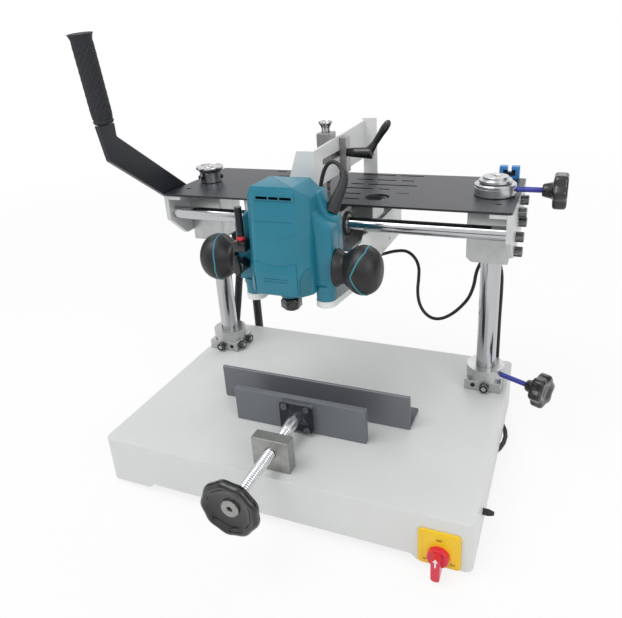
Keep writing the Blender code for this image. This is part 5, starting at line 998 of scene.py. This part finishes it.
def ball_radius(along):
    """The ball handle's radius at a distance from its middle."""
    places = [place for radius, place in BALL]
    return float(np.interp(along, places, [radius for radius, place in BALL]))


def make_handles():
    """The two ball handles, each with its bent teal line."""
    for side, sign in (("left", -1), ("right", 1)):
        centre = Vector((ROUTER_X + sign * HANDLE_REACH, ROUTER_Y, HANDLE_Z))
        shape = bmesh.new()
        fine, _ = smooth_route([(radius, 0, along) for radius, along in BALL], 1.6)
        rings = []
        for radius, _, along in fine:
            if radius < 0.2:
                rings.append([shape.verts.new(at(centre.x + sign * along, centre.y, centre.z))])
                continue
            ring = []
            for step in range(BALL_STEPS):
                angle = FULL_TURN * step / BALL_STEPS
                y = centre.y + radius * math.cos(angle)
                z = centre.z + radius * BALL_TALL * math.sin(angle)
                ring.append(shape.verts.new(at(centre.x + sign * along, y, z)))
            rings.append(ring)
        join_rings(shape, rings)
        add_piece(f"{side}_ball", shape, "router", "grip_black", (f"{side}_handle",), sharp=50)
        line = []
        for turn in np.linspace(-2.3, 2.3, 47):
            along = LINE_START + LINE_BENDS[side] * min(1, abs(turn) / 1.1)
            radius = ball_radius(along) - 0.35
            y = centre.y - radius * math.cos(turn)
            z = centre.z + radius * BALL_TALL * math.sin(turn)
            line.append((centre.x + sign * along, y, z))
        add_piece(f"{side}_line", swept(line, [1.2] * len(line), 10), "router", "pale_teal")


ROD_FOOT = (-63, 106, 355)
ROD_TEETH = 24
TOOTH_PITCH = 1.7
FIRST_TOOTH = 20
KNOB_X = -66


def make_controls():
    """The depth rod's rack and red ring, and the plunge lock's lever."""
    rod = [(0, 0), (4.4, 0)]
    for index in range(ROD_TEETH):
        low = FIRST_TOOTH + index * TOOTH_PITCH
        rod += [(4.9, low), (4.9, low + 0.9), (4.3, low + 1.1), (4.3, low + 1.6)]
    rod += [(5, 60.9), (5, 61.6), (4.6, 62), (0, 62)]
    add_piece("toothed_rod", sectioned(rod, ROD_FOOT, UP, 32), "depth_rod", "black_plastic", ("depth_rod",))
    ring = [(4.2, 17), (5.7, 17), (6.1, 17.6), (6.1, 21.6), (5.7, 22.2), (4.2, 22.2)]
    shape = hollow(ring, ROD_FOOT, UP, 32)
    add_piece("depth_ring", shape, "depth_rod", "red_ring")
    knob = [(0, 0), (8.4, 0), (9, 0.8), (9, 6), (8, 8), (8, 13), (9, 15.5), (9, 19), (8, 20.3), (0, 20.8)]
    shape = sectioned(knob, (KNOB_X, 114.7, HANDLE_Z), FRONT, 40)
    wing = [
        (-4.6, -8), (4.6, -8), (5.4, -4), (4.9, 6), (3.6, 14), (1.6, 16.8), (-1.6, 16.8), (-3.6, 14),
        (-4.9, 6), (-5.4, -4),
    ]
    outline = [(KNOB_X + across, HANDLE_Z + up) for across, up in wing]
    lever = slab(outline, 90.7, 98.3, front_place, 1.4)
    add_piece("lock_hub", shape, "lock_knob", "gloss_black", ("lock_knob",))
    add_piece("lock_wing", lever, "lock_knob", "gloss_black")


CLAMP_Z = 448
ARM_SHARES = (0, 0.12, 0.35, 0.6, 0.8, 0.92, 0.98, 1)
ARM_RADII = (6.6, 7, 4.8, 5.2, 6, 5.2, 3.4, 1.4)


def make_clamp_lever():
    """The black ratchet lever: a ribbed hub and a waisted arm with a round tip."""
    hub = [
        (0, 0), (5.6, 0), (6.2, 0.6), (6.4, 4), (7, 4.6), (7.3, 12), (7.9, 22), (8.6, 30), (9, 34),
        (9, 37.4), (8.2, 38.6), (5, 39), (4.6, 38.2), (0, 38),
    ]
    shape = sectioned(hub, (15.6, 315, CLAMP_Z), RIGHT, 48)
    route = [
        (45, 315, 446), (49, 315, 451), (54, 315, 457), (60.5, 315, 466), (67, 315, 475.5),
        (73, 315, 484), (78, 315, 491), (81, 315, 495.6),
    ]
    points, _ = smooth_route(route, 2)
    radii = []
    for index in range(len(points)):
        share = index / (len(points) - 1)
        radii.append(float(np.interp(share, ARM_SHARES, ARM_RADII)))
    swept(points, radii, 24, shape)
    add_piece("ratchet_lever", shape, "clamp_lever", "gloss_black", ("clamp_lever",), sharp=50)


def make_stylus():
    """The chromed stylus with its mushroom head."""
    pin = [
        (0, -88.3), (2.1, -88.3), (2.5, -87.6), (2.5, -76.4), (4.5, -73.6), (4.5, 0), (6.2, 0),
        (6.5, 0.5), (6.4, 5), (7, 8), (9.4, 12), (10.5, 13.4), (10.5, 15.2), (10, 16), (6.5, 16),
        (6, 15.4), (0, 15.2),
    ]
    add_piece("chrome_stylus", sectioned(pin, (-9.3, 290, 482.3), UP, 48), "stylus", "chrome", ("stylus",))


def make_seal():
    """The black seal where the front rod leaves its bearing."""
    ring = [
        (11.6, 0), (17.2, 0), (17.9, 0.6), (17.9, 3.2), (17.2, 3.8), (14.4, 3.8), (13.8, 3.2),
        (11.6, 3.2),
    ]
    add_piece("rod_seal", hollow(ring, (35.6, 242.5, 359), RIGHT, 56), "x_carriage", "black_rubber")


# Each mark on the switch plate: its word, place and size
SWITCH_MARKS = (("OFF", 230, 50.5, 4.2), ("ON", 213.5, 17.4, 3.8), ("ON", 246.5, 17.4, 3.8))


def make_switch_marks():
    """The switch plate's raised frame, its generic marks, and the white arrow on the handle."""
    frame_outline = [(207, 13), (253, 13), (253, 59), (207, 59)]
    shape = slab(frame_outline, -4.1, -3.3, front_place, 0.3)
    plate = add_piece("switch_frame", shape, "base", "yellow_plastic")
    inner = make_cutter(block((209, -6, 15), (251, -3.7, 57), 0), "yellow_plastic")
    carve(plate, [inner])
    drop([inner])
    for index, (word, across, up, size) in enumerate(SWITCH_MARKS):
        curve = bpy.data.curves.new(f"switch_mark_{index}", "FONT")
        curve.body = word
        curve.align_x = "CENTER"
        curve.align_y = "CENTER"
        curve.size = size * MM
        curve.extrude = 0.1 * MM
        mark = add_object(f"switch_mark_{index}", curve)
        mark.matrix_world = Matrix.Translation(at(across, -3.85, up)) @ Matrix.Rotation(math.pi / 2, 4, "X")
        curve.materials.append(FINISHES["black_plastic"])
        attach(mark, "base")
    arrow = [(-1.1, -6), (1.1, -6), (1.1, 2), (3.4, 2), (0, 7), (-3.4, 2), (-1.1, 2)]
    outline = [(230 + across, 35 + up) for across, up in arrow]
    add_piece("switch_arrow", slab(outline, -25, -24.5, front_place, 0.1), "switch_knob", "white_mark")


def make_clip():
    """The blue clip block behind the plate's right end, with its window, whose walls are painted dark as
    shade, and the notch above it.
    """
    shape = block((229, 405, 393.3), (259, 417, 413.3), 1.2)
    clip = add_piece("blue_clip", shape, "head", "blue_plastic", ("clip_block",))
    # The window's walls take the near-black finish: painted shade
    window = make_cutter(block((235, 400, 399), (253, 409, 408), 0), "painted_shade_slot")
    channel = make_cutter(block((241, 400, 404), (247, 420, 416), 0), "blue_plastic")
    cutters = [window, channel]
    carve(clip, cutters)
    drop(cutters)


# Where the studio's floor fades into the pale surroundings, in metres
FLOOR_REACH = 6
FLOOR_FADE = (1.2, 2.6)
FLOOR_COLOUR = (0.93, 0.93, 0.93)
FLOOR_GLOW = 0.84
SKY_LIGHT = 0.55
CARD_COLOUR = (0.05, 0.055, 0.06)

# Where each grey card stands, what it faces, and its width and height, in metres
CARDS = (
    ((-1.5, 0.3, 0.3), (0, 0, 0.3), 0.7, 1.6),
    ((1.7, 0.5, 0.3), (0, 0, 0.3), 0.7, 1.6),
    ((-0.9, -1.5, 0.3), (0, 0, 0.3), 0.35, 1.6),
    ((0.2, 0.9, 1.5), (0, 0, 0.36), 2.4, 0.5),
    ((0.3, -1.6, 0.15), (0, 0, 0.3), 2.2, 0.25),
)

# Each lamp's name, place, what it faces, size in metres and power in watts
LAMPS = (
    ("key_lamp", (-0.9, -1.0, 2.7), (0, 0, 0.25), 1.8, 34),
    ("fill_lamp", (2.2, -1.4, 1.7), (0, 0, 0.25), 1.4, 14),
    ("back_lamp", (0.2, 1.9, 2.3), (0, 0, 0.3), 1.4, 14),
)


def seeing_rays(tree):
    """One for the camera's rays and those that it gets by reflection or through glass, else nothing."""
    path = add_node(tree, "LightPath")
    seen = path.outputs["Is Camera Ray"]
    for kind in ("Is Transmission Ray", "Is Glossy Ray"):
        seen = add_node(tree, "Math", {0: seen, 1: path.outputs[kind]}, operation="MAXIMUM").outputs[0]
    return seen


def make_floor():
    """A plain pale floor that keeps the shadow and fades out into the pale background."""
    shape = bmesh.new()
    bmesh.ops.create_grid(shape, x_segments=8, y_segments=8, size=FLOOR_REACH)
    mesh = mesh_from("floor", shape)
    floor = add_object("floor", mesh)
    material, tree, output = new_tree("floor")
    paper = add_node(tree, "BsdfDiffuse", {"Color": (*FLOOR_COLOUR, 1)})
    glow = add_node(tree, "Emission", {"Color": (1, 1, 1, 1)})
    share = add_node(tree, "Math", {0: seeing_rays(tree), 1: FLOOR_GLOW}, operation="MULTIPLY")
    lit = add_node(tree, "MixShader", {"Fac": share.outputs[0], 1: paper.outputs[0], 2: glow.outputs[0]})
    place = add_node(tree, "TexCoord").outputs["Object"]
    far = add_node(tree, "VectorMath", {0: place}, operation="LENGTH").outputs["Value"]
    fade = add_node(tree, "MapRange", {"Value": far, "From Min": FLOOR_FADE[0], "From Max": FLOOR_FADE[1]})
    clear = add_node(tree, "BsdfTransparent")
    mix = add_node(tree, "MixShader", {"Fac": fade.outputs["Result"], 1: lit.outputs[0], 2: clear.outputs[0]})
    tree.links.new(mix.outputs[0], output.inputs[0])
    mesh.materials.append(material)


def make_world():
    """Pale surroundings: white where the camera or a reflection sees them, softer as a light."""
    world = bpy.data.worlds.new("studio")
    bpy.context.scene.world = world
    world.use_nodes = True
    tree = world.node_tree
    sky = tree.nodes["Background"]
    strength = add_node(tree, "MapRange", {"Value": seeing_rays(tree), "To Min": SKY_LIGHT, "To Max": 1})
    tree.links.new(strength.outputs["Result"], sky.inputs["Strength"])
    sky.inputs["Color"].default_value = (1, 1, 1, 1)


def facing(place, aim):
    """The matrix of a lamp or card that stands at a place and faces another, in metres."""
    start = Vector(place)
    turn = (Vector(aim) - start).to_track_quat("-Z", "Y").to_matrix().to_4x4()
    return Matrix.Translation(start) @ turn


def add_lamp(name, place, aim, size, power):
    """A soft square lamp."""
    data = bpy.data.lights.new(name, "AREA")
    data.shape = "SQUARE"
    data.size = size
    data.energy = power
    lamp = add_object(name, data)
    lamp.matrix_world = facing(place, aim)


def make_lamps():
    """Soft studio light: a wide key from the upper left, a fill from the right and one from behind."""
    for lamp in LAMPS:
        add_lamp(*lamp)


def make_cards():
    """Grey cards that only reflections see, so that polished metal shows darker bands."""
    material, tree, output = new_tree("card")
    grey = add_node(tree, "Emission", {"Color": (*CARD_COLOUR, 1)})
    tree.links.new(grey.outputs[0], output.inputs[0])
    for index, (place, aim, width, height) in enumerate(CARDS):
        mesh = bpy.data.meshes.new(f"card_{index}")
        across, up = width / 2, height / 2
        corners = [(-across, -up, 0), (across, -up, 0), (across, up, 0), (-across, up, 0)]
        mesh.from_pydata(corners, [], [(0, 1, 2, 3)])
        card = add_object(f"card_{index}", mesh)
        card.matrix_world = facing(place, aim)
        mesh.materials.append(material)
        card.visible_camera = False
        card.visible_diffuse = False
        card.visible_shadow = False
        card.visible_transmission = False
        card.visible_volume_scatter = False


make_camera()
assign_finishes()
make_router_cord()
make_boot()
make_conduit()
make_mains_lead()
make_knobs()
make_grip()
make_lead_screw()
make_handwheel()
make_screws()
make_caps()
make_housing()
make_collet()
make_handles()
make_controls()
make_clamp_lever()
make_stylus()
make_seal()
make_switch_marks()
make_clip()
make_floor()
make_world()
make_cards()
make_lamps()

bpy.context.scene.view_settings.view_transform = "Standard"
